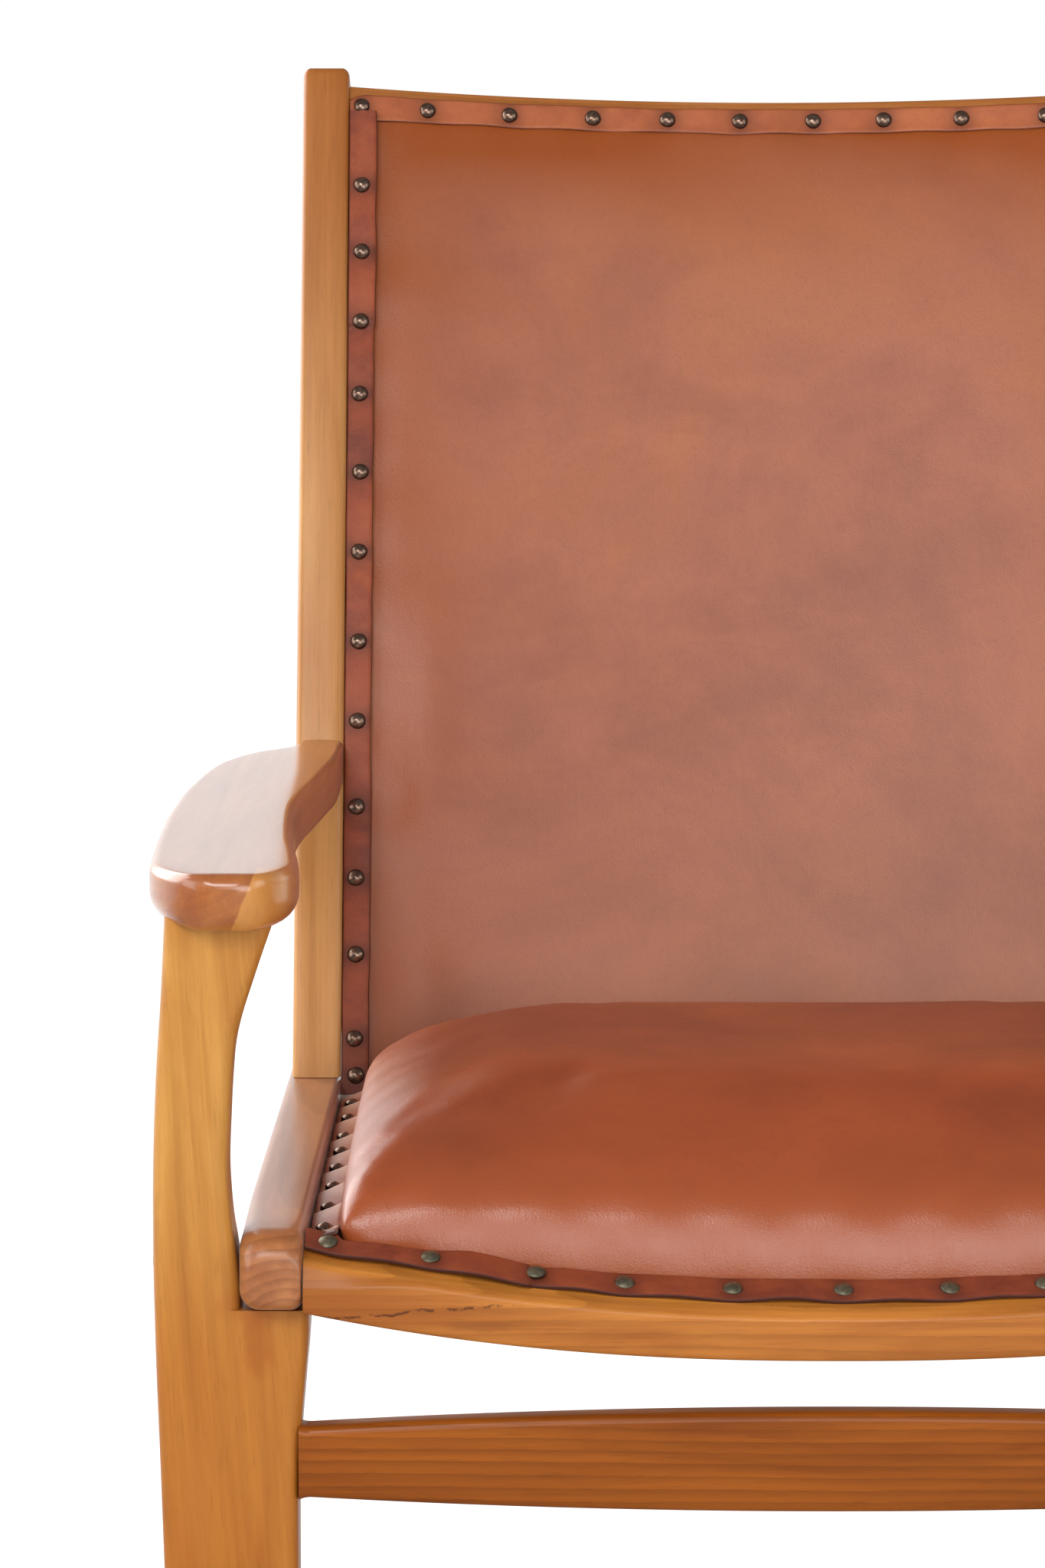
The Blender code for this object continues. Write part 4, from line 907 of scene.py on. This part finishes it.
def strip_piece(
    name, frame_at, width, thickness, height_at, edge_at, material, stands_for, count, spots=(), painted_light_at=None,
):
    """A leather strip: frame_at(t) gives centre, across and up; height_at(t, v) lifts its face."""
    columns = [(v, True) for v in (-1.0, -0.97, -0.88, -0.7, -0.45, -0.15, 0.15, 0.45, 0.7, 0.88, 0.97, 1.0)]
    columns += [(v, False) for v in (1.0, 0.5, 0.0, -0.5, -1.0)]
    bm = bmesh.new()
    edge = bm.verts.layers.float.new("edge")
    pale = bm.verts.layers.float.new("pale") if painted_light_at else None
    length = (frame_at(1.0)[0] - frame_at(0.0)[0]).length
    rings = []
    for t in spread(0.0, 1.0, count):
        centre, across, up = frame_at(t)
        left, right = edge_at(t)
        # Closeness to a nail, for painted shade round each nail head
        near = max((hump(t * length, spot * length, 0.0070) for spot in spots), default=0.0)
        ring = []
        for v, on_top in columns:
            offset = (left if v < 0 else right) + v * width / 2
            level = height_at(t, v)
            tone = 1.0
            if on_top:
                level += thickness - thickness * 0.35 * max(0.0, (abs(v) - 0.86) / 0.14) ** 2
                # Painted shade: the strip's long edges and a ring round each nail take the dark edge colour
                tone = max(0.0, (abs(v) - 0.90) / 0.10, 0.55 * near)
            vert = bm.verts.new(centre + across * offset + up * level)
            # A painted highlight and a painted shadow, where the strip gives them
            if painted_light_at and on_top:
                vert[pale], dark = painted_light_at(t, v)
                tone = max(tone, dark)
            vert[edge] = tone
            ring.append(vert)
        rings.append(ring)
    skin(bm, rings)
    make_piece(name, bm, material, stands_for, 50)


def nail_group(name, nails, material, radius=0.00475, height=0.0030):
    """Domed nail heads: nails are (place, up) pairs."""
    bm = bmesh.new()
    rim = bm.verts.layers.float.new("rim")
    for index, (place, up) in enumerate(nails):
        lean = Vector([wave(index * step, seed) * 0.08 for step, seed in ((1.7, 5), (2.3, 6), (2.9, 8))])
        matrix = Matrix.Translation(place) @ (up + lean).to_track_quat("Z", "Y").to_matrix().to_4x4()
        rows = []
        for level, wide, dark in NAIL_PROFILE:
            row = []
            for angle, c, s in circle(24):
                r = radius * wide * (1 + 0.02 * math.sin(3 * angle + index))
                vert = bm.verts.new(matrix @ Vector((r * c, r * s, level * height / NAIL_PROFILE[-1][0])))
                vert[rim] = dark
                row.append(vert)
            rows.append(row)
        skin(bm, rows)
    make_piece(name, bm, material, (), 60)


def bulge(t, knots, height, seed):
    """A strip's rise between nails at the given places."""
    for index, (low, high) in enumerate(zip(knots, knots[1:])):
        if low <= t <= high:
            share = (t - low) / (high - low)
            return height * (0.6 + 0.5 * wave(index * 3.1, seed)) * math.sin(math.pi * share) ** 2
    return 0.0


def make_top_strip():
    middle = TRIM_TOP - TRIM / 2
    knots = [(x + STRIP_HALF) / (2 * STRIP_HALF) for x in TOP_NAILS]

    def place_at(x, lift, s):
        return back_point(x, BACK_RECESS + bend(x) - lift, s)

    def frame_at(t):
        return place_at(STRIP_HALF * (2 * t - 1), 0.0003, middle), BACK_UP, BACK_OUT

    def height_at(t, v):
        lip = 0.0007 * max(0.0, -v) ** 2 * (1 + wave(t * 23, 4))
        return bulge(t, knots, 0.0012, 3) * (1 - 0.3 * v * v) + lip

    def edge_at(t):
        corner = max(0.0, 1 - min(t, 1 - t) * 2 * STRIP_HALF / 0.010)
        return 0.0011 * wave(t * 17, 1) - 0.0004, 0.0004 * wave(t * 11, 2) - 0.004 * corner**2

    strip_piece(
        "top_strip", frame_at, TRIM, STRIP, height_at, edge_at, top_strip_leather, ["top_trim"], 400, knots,
    )
    nails = [(place_at(x, STRIP + 0.0003, middle + 0.0006 * wave(x * 90, 3)), BACK_OUT) for x in TOP_NAILS]
    nail_group("top_nails", nails, nail_bronze)


def make_post_strips():
    low = -0.0085
    high = TRIM_TOP - TRIM + 0.004
    knots = [(s - low) / (high - low) for s in POST_NAILS]
    for side, name in SIDES:
        across = Vector((side, 0.0, 0.0))

        def height_up(t):
            return low + (high - low) * t

        def frame_at(t):
            return back_point(side * SIDE_MIDDLE, BACK_RECESS - 0.0004, height_up(t)), across, BACK_OUT

        def lap_at(t):
            return ledge(height_up(t) - POST_LAP + 0.002)

        def height_at(t, v):
            return bulge(t, knots, 0.0009, 10 + side) * (1 - 0.25 * v * v) + POST_LAP_RISE * lap_at(t)

        def edge_at(t):
            inner = -0.0002 + 0.00055 * wave(t * 21, 20 + side) - 0.0007 * lap_at(t)
            outer = 0.0002 + 0.00035 * wave(t * 15, 23 + side)
            return inner, outer + 0.0042 * ledge(-0.0012 - height_up(t))

        strip_piece(
            f"post_strip_{name}", frame_at, TRIM - 0.0002, STRIP, height_at, edge_at,
            strip_leather, [f"post_trim_{name}"], 480, knots,
        )
        nails = []
        for s in POST_NAILS:
            lift = STRIP + 0.0004 + (POST_LAP_RISE if s > POST_LAP - 0.001 else 0.0)
            x = side * (SIDE_MIDDLE + 0.0008 * wave(s * 40, 7))
            nails.append((back_point(x, BACK_RECESS - lift, s), BACK_OUT))
        nail_group(f"post_nails_{name}", nails, nail_bronze)


def front_trim_frame(x):
    """Centre of the front strip's underside, the direction up its width, and its normal."""
    slope = math.atan((0.0092 - 0.0010) / 0.019)
    y = 0.0140 + 0.0165 / 2 * math.cos(slope)
    z = -0.0093 + (y - 0.013) * math.tan(slope) - front_sunk(x)
    origin = seat_point(0, 0, 0)
    across = seat_point(0, math.cos(slope), math.sin(slope)) - origin
    up = seat_point(0, -math.sin(slope), math.cos(slope)) - origin
    return seat_point(x, y, z), across, up


def make_front_strip():
    knots = [(x + STRIP_HALF) / (2 * STRIP_HALF) for x in FRONT_NAILS]

    def x_at(t):
        return STRIP_HALF * (2 * t - 1)

    def frame_at(t):
        return front_trim_frame(x_at(t))

    def height_at(t, v):
        return bulge(t, knots, 0.0022, 31) * (0.55 - 0.45 * v) + FRONT_LAP_RISE * ledge(FRONT_LAP - x_at(t))

    def edge_at(t):
        x = x_at(t)
        step = 0.0022 * ledge(FRONT_LAP - x) * ease(x, FRONT_LAP - 0.040, FRONT_LAP)
        low = -0.0003 + 0.0006 * wave(t * 19, 32) - step + 0.0018 * ease(abs(x), 0.230, 0.249)
        if abs(x) > FRONT_STRIP_EDGE[0][0]:
            return low, smooth_value(FRONT_STRIP_EDGE, abs(x), 1)
        return low, FRONT_STRIP_EDGE[0][1] + 0.0011 * wave(t * 22, 33)

    strip_piece(
        "front_strip", frame_at, 0.0160, STRIP, height_at, edge_at, strip_leather, ["front_trim"], 480, knots,
    )
    nails = []
    for x in FRONT_NAILS:
        centre, across, up = front_trim_frame(x)
        lift = STRIP - 0.0002 + (FRONT_LAP_RISE if x < FRONT_LAP + 0.004 else 0.0)
        nails.append((centre + across * (0.0004 + 0.0007 * wave(x * 77, 34)) + up * lift, up))
    nail_group("front_nails", nails, front_bronze, 0.0048, 0.0023)


def pucker(share):
    """A fold between two nails: a long rise away from the viewer and a steep fall to the next nail."""
    if share < 0.10 or share > 0.935:
        return 0.0
    if share < 0.82:
        climb = (share - 0.10) / 0.72
        return climb ** 0.85 * (1 - 0.12 * climb) / 0.88
    if share < 0.86:
        return 1.0 - 0.06 * ((share - 0.82) / 0.04) ** 2
    return 0.94 * (1 - ((share - 0.86) / 0.075) ** 1.3)


def make_seat_strips():
    """Strips along the seat's sides, folded forward between the nails like scales, with painted highlights on
    the folds and painted shadow in the slots between them.
    """
    start = FRONT_Y + 0.0310
    finish = 0.094
    knots = [0.0] + [(y - start) / (finish - start) for y in SEAT_NAILS] + [1.0]
    middle = SIDE_MIDDLE + 0.0002
    level = board_level(middle) + 0.0006
    for side, name in SIDES:
        across = Vector((side, 0.0, 0.0))

        def frame_at(t):
            y = start + (finish - start) * t - SEAT_ORIGIN.y
            return seat_point(side * middle, y, level + 0.0050 * ease(y, 0.054, 0.028)), across, SEAT_UP

        def fold(t, v):
            skewed = min(max(t + 0.0095 * v, 0.0), 1.0)
            for index, (low, high) in enumerate(zip(knots, knots[1:])):
                if low <= skewed <= high:
                    return index, (skewed - low) / (high - low)

        def height_at(t, v):
            index, share = fold(t, v)
            tall = (0.0024 if index else 0.0008) * (1.0 + 0.35 * wave(index * 2.7, 40 + side))
            return tall * pucker(share) + 0.0024 * (1 - v) * (0.75 + 0.25 * pucker(share))

        def edge_at(t):
            wobble = 0.0009 * wave(t * 40, 50 + side)
            return wobble - 0.0004, -abs(wobble)

        # Painted highlight on each fold's slope and crest, and painted shadow in the slot before the next
        # fold
        def painted_light_at(t, v):
            _, share = fold(t, v)
            painted_slope_light = 0.50 * ease(share, 0.25, 0.80) if share < 0.86 else 0.0
            painted_slot_shadow = ease(share, 0.865, 0.90) if share > 0.86 else ease(-share, -0.16, -0.06)
            return min(1.0, painted_slope_light + 0.75 * hump(share, 0.835, 0.022)), 0.9 * painted_slot_shadow

        strip_piece(
            f"seat_strip_{name}", frame_at, 0.0144, SEAT_STRIP, height_at, edge_at,
            seat_strip_leather, [f"seat_trim_{name}"], 900, painted_light_at=painted_light_at,
        )
        up = (SEAT_UP - across * 0.16).normalized()
        x = side * (middle - 0.0006)
        z = level + SEAT_STRIP + 0.0030
        nails = [(seat_point(x, y - SEAT_ORIGIN.y, z), up) for y in SEAT_NAILS]
        nail_group(f"seat_nails_{name}", nails, nail_bronze, 0.0048, 0.0034)


# Seat cushion and back pad

CLOTH = {
    "quality": 6, "mass": 0.35, "tension_stiffness": 25, "compression_stiffness": 25, "shear_stiffness": 12,
    "bending_stiffness": 3.0, "use_pressure": True, "vertex_group_mass": "held",
}
CLOTH_FRAMES = 20
PAD_HALF = BATTEN_INNER + 0.0006
CUSHION_FRONT = 0.0292
CUSHION_CROWN = 0.0582
PAD_LOW = -0.003
PAD_HIGH = TRIM_TOP - TRIM + 0.001


def fullness(place, power, softness=0.6):
    """1 in the middle of a pad and 0 at its rim."""
    return (1 - min(abs(place), 1.0) ** power) ** softness


def ripple(place, first, pitch):
    """Waves with a crest at the first place and at every pitch from it."""
    return math.cos(math.tau * (place - first) / pitch)


def pad_mesh(along, low_side, top_side, columns, rows):
    """Two sheets of quads joined at their rim; low_side and top_side give their points."""
    bm = bmesh.new()
    sheets = []
    for face in (low_side, top_side):
        grid = []
        for j in range(rows + 1):
            t = -math.cos(math.pi * j / rows)
            grid.append([])
            for i in range(columns + 1):
                r = -math.cos(math.pi * i / columns)
                x = PAD_HALF * r
                grid[-1].append(bm.verts.new(face(x, along(x, t), r, t)))
        sheets.append(grid)
    for grid in sheets:
        for j in range(rows):
            for i in range(columns):
                bm.faces.new((grid[j][i], grid[j][i + 1], grid[j + 1][i + 1], grid[j + 1][i]))
    low, top = sheets
    rim = [(0, i) for i in range(columns)] + [(j, columns) for j in range(rows)]
    rim += [(rows, i) for i in range(columns, 0, -1)] + [(j, 0) for j in range(rows, 0, -1)]
    for (j0, i0), (j1, i1) in zip(rim, rim[1:] + rim[:1]):
        bm.faces.new((low[j0][i0], low[j1][i1], top[j1][i1], top[j0][i0]))
    return bm


def apply_modifier(piece, kind, **settings):
    bpy.context.view_layer.objects.active = piece
    modifier = piece.modifiers.new(kind.lower(), kind)
    for key, setting in settings.items():
        setattr(modifier, key, setting)
    bpy.ops.object.modifier_apply(modifier=modifier.name)


def coordinates(mesh):
    values = np.empty(len(mesh.vertices) * 3, np.float64)
    mesh.vertices.foreach_get("co", values)
    return values.reshape(-1, 3)


def inflate(piece, pressure, cap, held):
    """Let cloth pressure fill the pad and keep each point within cap of its start."""
    start = coordinates(piece.data)
    group = piece.vertex_groups.new(name=CLOTH["vertex_group_mass"])
    for index, point in enumerate(start):
        group.add([index], held(Vector(point)), "REPLACE")
    cloth = piece.modifiers.new("cloth", "CLOTH")
    for key, setting in CLOTH.items():
        setattr(cloth.settings, key, setting)
    cloth.settings.uniform_pressure_force = pressure
    cloth.settings.effector_weights.gravity = 0.0
    cloth.point_cache.frame_start = 1
    cloth.point_cache.frame_end = CLOTH_FRAMES
    scene = bpy.context.scene
    for frame_number in range(1, CLOTH_FRAMES + 1):
        scene.frame_set(frame_number)
    evaluated = piece.evaluated_get(bpy.context.evaluated_depsgraph_get())
    move = coordinates(evaluated.data) - start
    size = np.linalg.norm(move, axis=1, keepdims=True)
    limited = start + move * np.minimum(1.0, cap / np.maximum(size, 1e-9))
    piece.modifiers.remove(cloth)
    scene.frame_set(1)
    piece.data.vertices.foreach_set("co", limited.astype(np.float32).ravel())
    piece.data.update()


def relax(piece, rounds, held=None):
    """Smooth the points that held doesn't hold."""
    bm = bmesh.new()
    bm.from_mesh(piece.data)
    loose = [vert for vert in bm.verts if not (held and held(vert.co))]
    for _ in range(rounds):
        bmesh.ops.smooth_vert(bm, verts=loose, factor=0.5, use_axis_x=True, use_axis_y=True, use_axis_z=True)
    bm.to_mesh(piece.data)
    bm.free()


def finish_pad(piece, up, shape):
    """One subdivision, then a lift along up and an edge tone by a function of each point."""
    apply_modifier(piece, "SUBSURF", levels=1, render_levels=1)
    mesh = piece.data
    layer = mesh.attributes.new("edge", "FLOAT", "POINT")
    values = []
    for vert in mesh.vertices:
        lift, tone = shape(vert.co)
        vert.co += up * lift
        values.append(min(1.0, tone))
    layer.data.foreach_set("value", values)
    mesh.shade_smooth()
    mesh.update()


def make_seat_cushion():
    def along(x, t):
        end = POST_PLACE - 0.007 + bend(x) * 0.93
        return CUSHION_FRONT + (end - CUSHION_FRONT) * (t + 1) / 2

    def low(x, y, r, t):
        return seat_point(x, y, board_level(x) + 0.0004)

    def top(x, y, r, t):
        rim = board_level(x) + 0.0070
        crown = CUSHION_CROWN - 0.0035 * (1 - min(abs(x) / 0.16, 1.0) ** 2)
        swell = fullness(t, 4.4, 0.60) if t > 0 else fullness(t, 4.6, 0.46)
        return seat_point(x, y, rim + (crown - rim) * fullness(r, 6.0, 0.32) * swell)

    def held(point):
        x, y, z = seat_local(point)
        over = z - board_level(x)
        return 1.0 if over < 0.009 or PAD_HALF - abs(x) < 0.006 or y < CUSHION_FRONT + 0.006 else 0.0

    def shape(point):
        x, y, z = seat_local(point)
        over = z - board_level(x)
        side_gap = max(PAD_HALF - abs(x), 0.0)
        front_gap = max(y - CUSHION_FRONT, 0.0)
        pull = 0.0
        if over > 0.006:
            pull += 0.0009 * ripple(y, -SEAT_ORIGIN.y, 0.0495) * math.exp(-side_gap / 0.016)
            pull += 0.0012 * ripple(x, FRONT_NAILS[0], 0.0480) * math.exp(-front_gap / 0.015)
            pull += 0.0010 * wave(x * 9 + y * 4, 61) * min((over - 0.006) / 0.02, 1.0)
        return pull, 0.9 * math.exp(-min(side_gap, front_gap) / 0.030)

    bm = pad_mesh(along, low, top, 64, 56)
    piece = make_piece("seat_pad_leather", bm, seat_leather, ["seat_cushion"], 180)
    apply_modifier(piece, "REMESH", mode="VOXEL", voxel_size=0.0055)
    inflate(piece, 4.0, 0.004, held)
    relax(piece, 3)
    finish_pad(piece, SEAT_UP, shape)


def make_back_pad():
    def along(x, t):
        return PAD_LOW + (PAD_HIGH - PAD_LOW) * (t + 1) / 2

    def rear(x, s, r, t):
        return back_point(x, BACK_RECESS + bend(x), s)

    def front(x, s, r, t):
        full = 0.0072 * fullness(r, 5, 0.9) * fullness(t, 8)
        return back_point(x, BACK_RECESS - 0.0010 + bend(x) - full, s)

    def held(point):
        x, d, s = back_local(point)
        near = min(PAD_HALF - abs(x), PAD_HIGH - s, s - PAD_LOW)
        return 1.0 if d > BACK_RECESS + bend(x) - 0.002 or near < 0.006 else 0.0

    def shape(point):
        x, d, s = back_local(point)
        side_gap = max(PAD_HALF - abs(x), 0.0)
        top_gap = max(PAD_HIGH - s, 0.0)
        # Painted shade: a dull darker patch near the left edge, where the pad shows no reflection
        painted_shade_patch = hump(s, 0.158, 0.020) * hump(side_gap, 0.014, 0.016)
        uneven = 1 + 0.7 * wave(s * 11 + x * 5, 74) + 0.3 * wave(s * 29 + x * 7, 75)
        # Darker rims: partly the leather's burnish, partly painted shade where the rims miss the centre's
        # reflection; the darkening at the bottom by the seat is painted shade
        tone = (math.exp(-side_gap / 0.042) + 0.9 * math.exp(-top_gap / 0.055)) * uneven
        tone += 0.2 * math.exp(-max(s - PAD_LOW, 0.0) / 0.08) + 0.8 * painted_shade_patch
        lift = 0.0
        if d < BACK_RECESS + bend(x) - 0.0005:
            fold = 0.25 * max(0.0, wave(s * 9 + 0.7, 76 + (x > 0)))
            fold += 0.7 * hump(s, 0.230, 0.045) + 0.7 * hump(s, 0.050, 0.025)
            lift = 0.0022 * fold * hump(side_gap, 0.034, 0.014) * (1 - painted_shade_patch)
            lift -= 0.0004 * ripple(s, POST_NAILS[1], 0.0466) * math.exp(-side_gap / 0.012)
            lift -= 0.0006 * ripple(x, TOP_NAILS[0], 0.0440) * math.exp(-top_gap / 0.012)
            lift -= 0.0012 * wave(x * 7 + 3, 71) * wave(s * 8, 72) * min(1.0, side_gap / 0.04)
        return lift, tone

    bm = pad_mesh(along, rear, front, 72, 72)
    piece = make_piece("back_pad_leather", bm, back_leather, ["back_pad"], 180)
    inflate(piece, 1.2, 0.0010, held)
    relax(piece, 4, held)
    finish_pad(piece, BACK_OUT, shape)


# Hidden boards keep their CAD shapes

def dress_boards():
    for material, names in (
        (plywood, ("seat_board", "seat_cleat_left", "seat_cleat_right", "back_board")),
        (rear_teak, ("back_batten_left", "back_batten_right")),
        (lining, ("back_lining",)),
    ):
        for name in names:
            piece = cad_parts[name]
            piece.data.materials.clear()
            piece.data.materials.append(material)
            soften = piece.modifiers.new("soften", "BEVEL")
            soften.width = 0.0006
            soften.segments = 2
            soften.limit_method = "ANGLE"


# Studio

BACKDROP_GLOW = 0.93
AMBIENT = 0.42
CAMERA_LENS = 105.47
CAMERA_PLACE = (-0.1476, FRONT_Y - 2.062, 0.92)
CAMERA_TILT = math.radians(7.3)
# Name, place, target, width, height and power of each lamp
LAMPS = (
    ("key_front", (-0.95, -2.3, 2.05), (-0.05, 0.0, 0.6), 1.6, 0.9, 34),
    ("front_fill", (0.75, -3.1, 1.05), (0.0, 0.0, 0.45), 2.4, 1.0, 32),
    ("window_left", (-1.9, 0.95, 1.50), (-0.2, 0.0, 0.5), 2.5, 1.7, 60),
    ("fill_left", (-2.3, -0.9, 1.1), (-0.2, 0.0, 0.5), 1.2, 1.2, 12),
    ("fill_right", (2.4, -1.5, 1.7), (0.0, 0.0, 0.5), 1.5, 1.5, 14),
)


def studio_rays(tree):
    """1 for rays that see the studio straight or refracted, and 1 for mirrored ones."""
    seen = tree.nodes.new("ShaderNodeLightPath").outputs
    plain = calculate("MAXIMUM", Value(seen["Is Camera Ray"]), Value(seen["Is Transmission Ray"]))
    return plain, Value(seen["Is Glossy Ray"])


def make_floor():
    """A pale floor: white to straight rays, dim in reflections but for the part behind the object."""
    material, tree, shader = new_material("studio_floor")
    connect(shader, Base_Color=(0.78, 0.78, 0.78), Roughness=0.9)
    plain, glossy = studio_rays(tree)
    behind = map_range(axis_value(build(tree, "NewGeometry", {}, "Position"), "Y"), 0.0, 1.2)
    shade = build(tree, "BsdfDiffuse", {"Color": (0.22, 0.22, 0.22)})
    glow = build(tree, "Emission", {"Strength": BACKDROP_GLOW})
    bright = build(tree, "AddShader", {0: shade, 1: glow})
    dim = build(tree, "BsdfDiffuse", {"Color": (0.12, 0.12, 0.12)})
    lit = build(tree, "MixShader", {0: glossy, 1: Value(shader.outputs[0]), 2: dim})
    shown = calculate("MAXIMUM", plain, glossy * behind)
    mixed = build(tree, "MixShader", {0: shown, 1: lit, 2: bright})
    feed(tree.nodes["Material Output"].inputs["Surface"], mixed)
    bpy.ops.mesh.primitive_circle_add(vertices=96, radius=40.0, fill_type="NGON")
    floor = bpy.context.object
    floor.name = "studio_floor"
    floor.data.materials.append(material)


def make_world():
    """White to straight rays, plain ambient light, and a bright band behind the object in reflections."""
    world = bpy.data.worlds.new("studio")
    bpy.context.scene.world = world
    world.use_nodes = True
    tree = world.node_tree
    plain, glossy = studio_rays(tree)
    direction = build(tree, "TexCoord", {}, "Generated")
    low = map_range(axis_value(direction, "Z"), 0.62, 0.30)
    behind = map_range(axis_value(direction, "Y"), 0.05, 0.55) * low
    strength = glossy * (behind - AMBIENT * 0.75) + plain * (1 - AMBIENT) + AMBIENT
    connect(tree.nodes["Background"], Color=(1.0, 1.0, 1.0), Strength=strength)


def make_lamps():
    for name, place, target, width, height, power in LAMPS:
        data = bpy.data.lights.new(name, "AREA")
        data.shape = "RECTANGLE"
        data.size = width
        data.size_y = height
        data.energy = power
        lamp = bpy.data.objects.new(name, data)
        bpy.context.scene.collection.objects.link(lamp)
        lamp.location = place
        lamp.visible_camera = False
        lamp.rotation_euler = (Vector(target) - Vector(place)).to_track_quat("-Z", "Y").to_euler()


def make_camera():
    data = bpy.data.cameras.new("camera")
    camera = bpy.data.objects.new("camera", data)
    bpy.context.scene.collection.objects.link(camera)
    data.sensor_width = 36.0
    data.lens = CAMERA_LENS
    camera.location = CAMERA_PLACE
    camera.rotation_euler = (math.pi / 2 - CAMERA_TILT, 0.0, 0.0)
    bpy.context.scene.camera = camera


make_arms()
make_front_legs()
make_side_rails()
make_posts()
make_cross_rails()
make_stretchers()
make_rear_legs()
make_glides()
make_top_strip()
make_post_strips()
make_front_strip()
make_seat_strips()
make_seat_cushion()
make_back_pad()
dress_boards()
make_floor()
make_world()
make_lamps()
make_camera()
bpy.context.scene.view_settings.view_transform = "Standard"
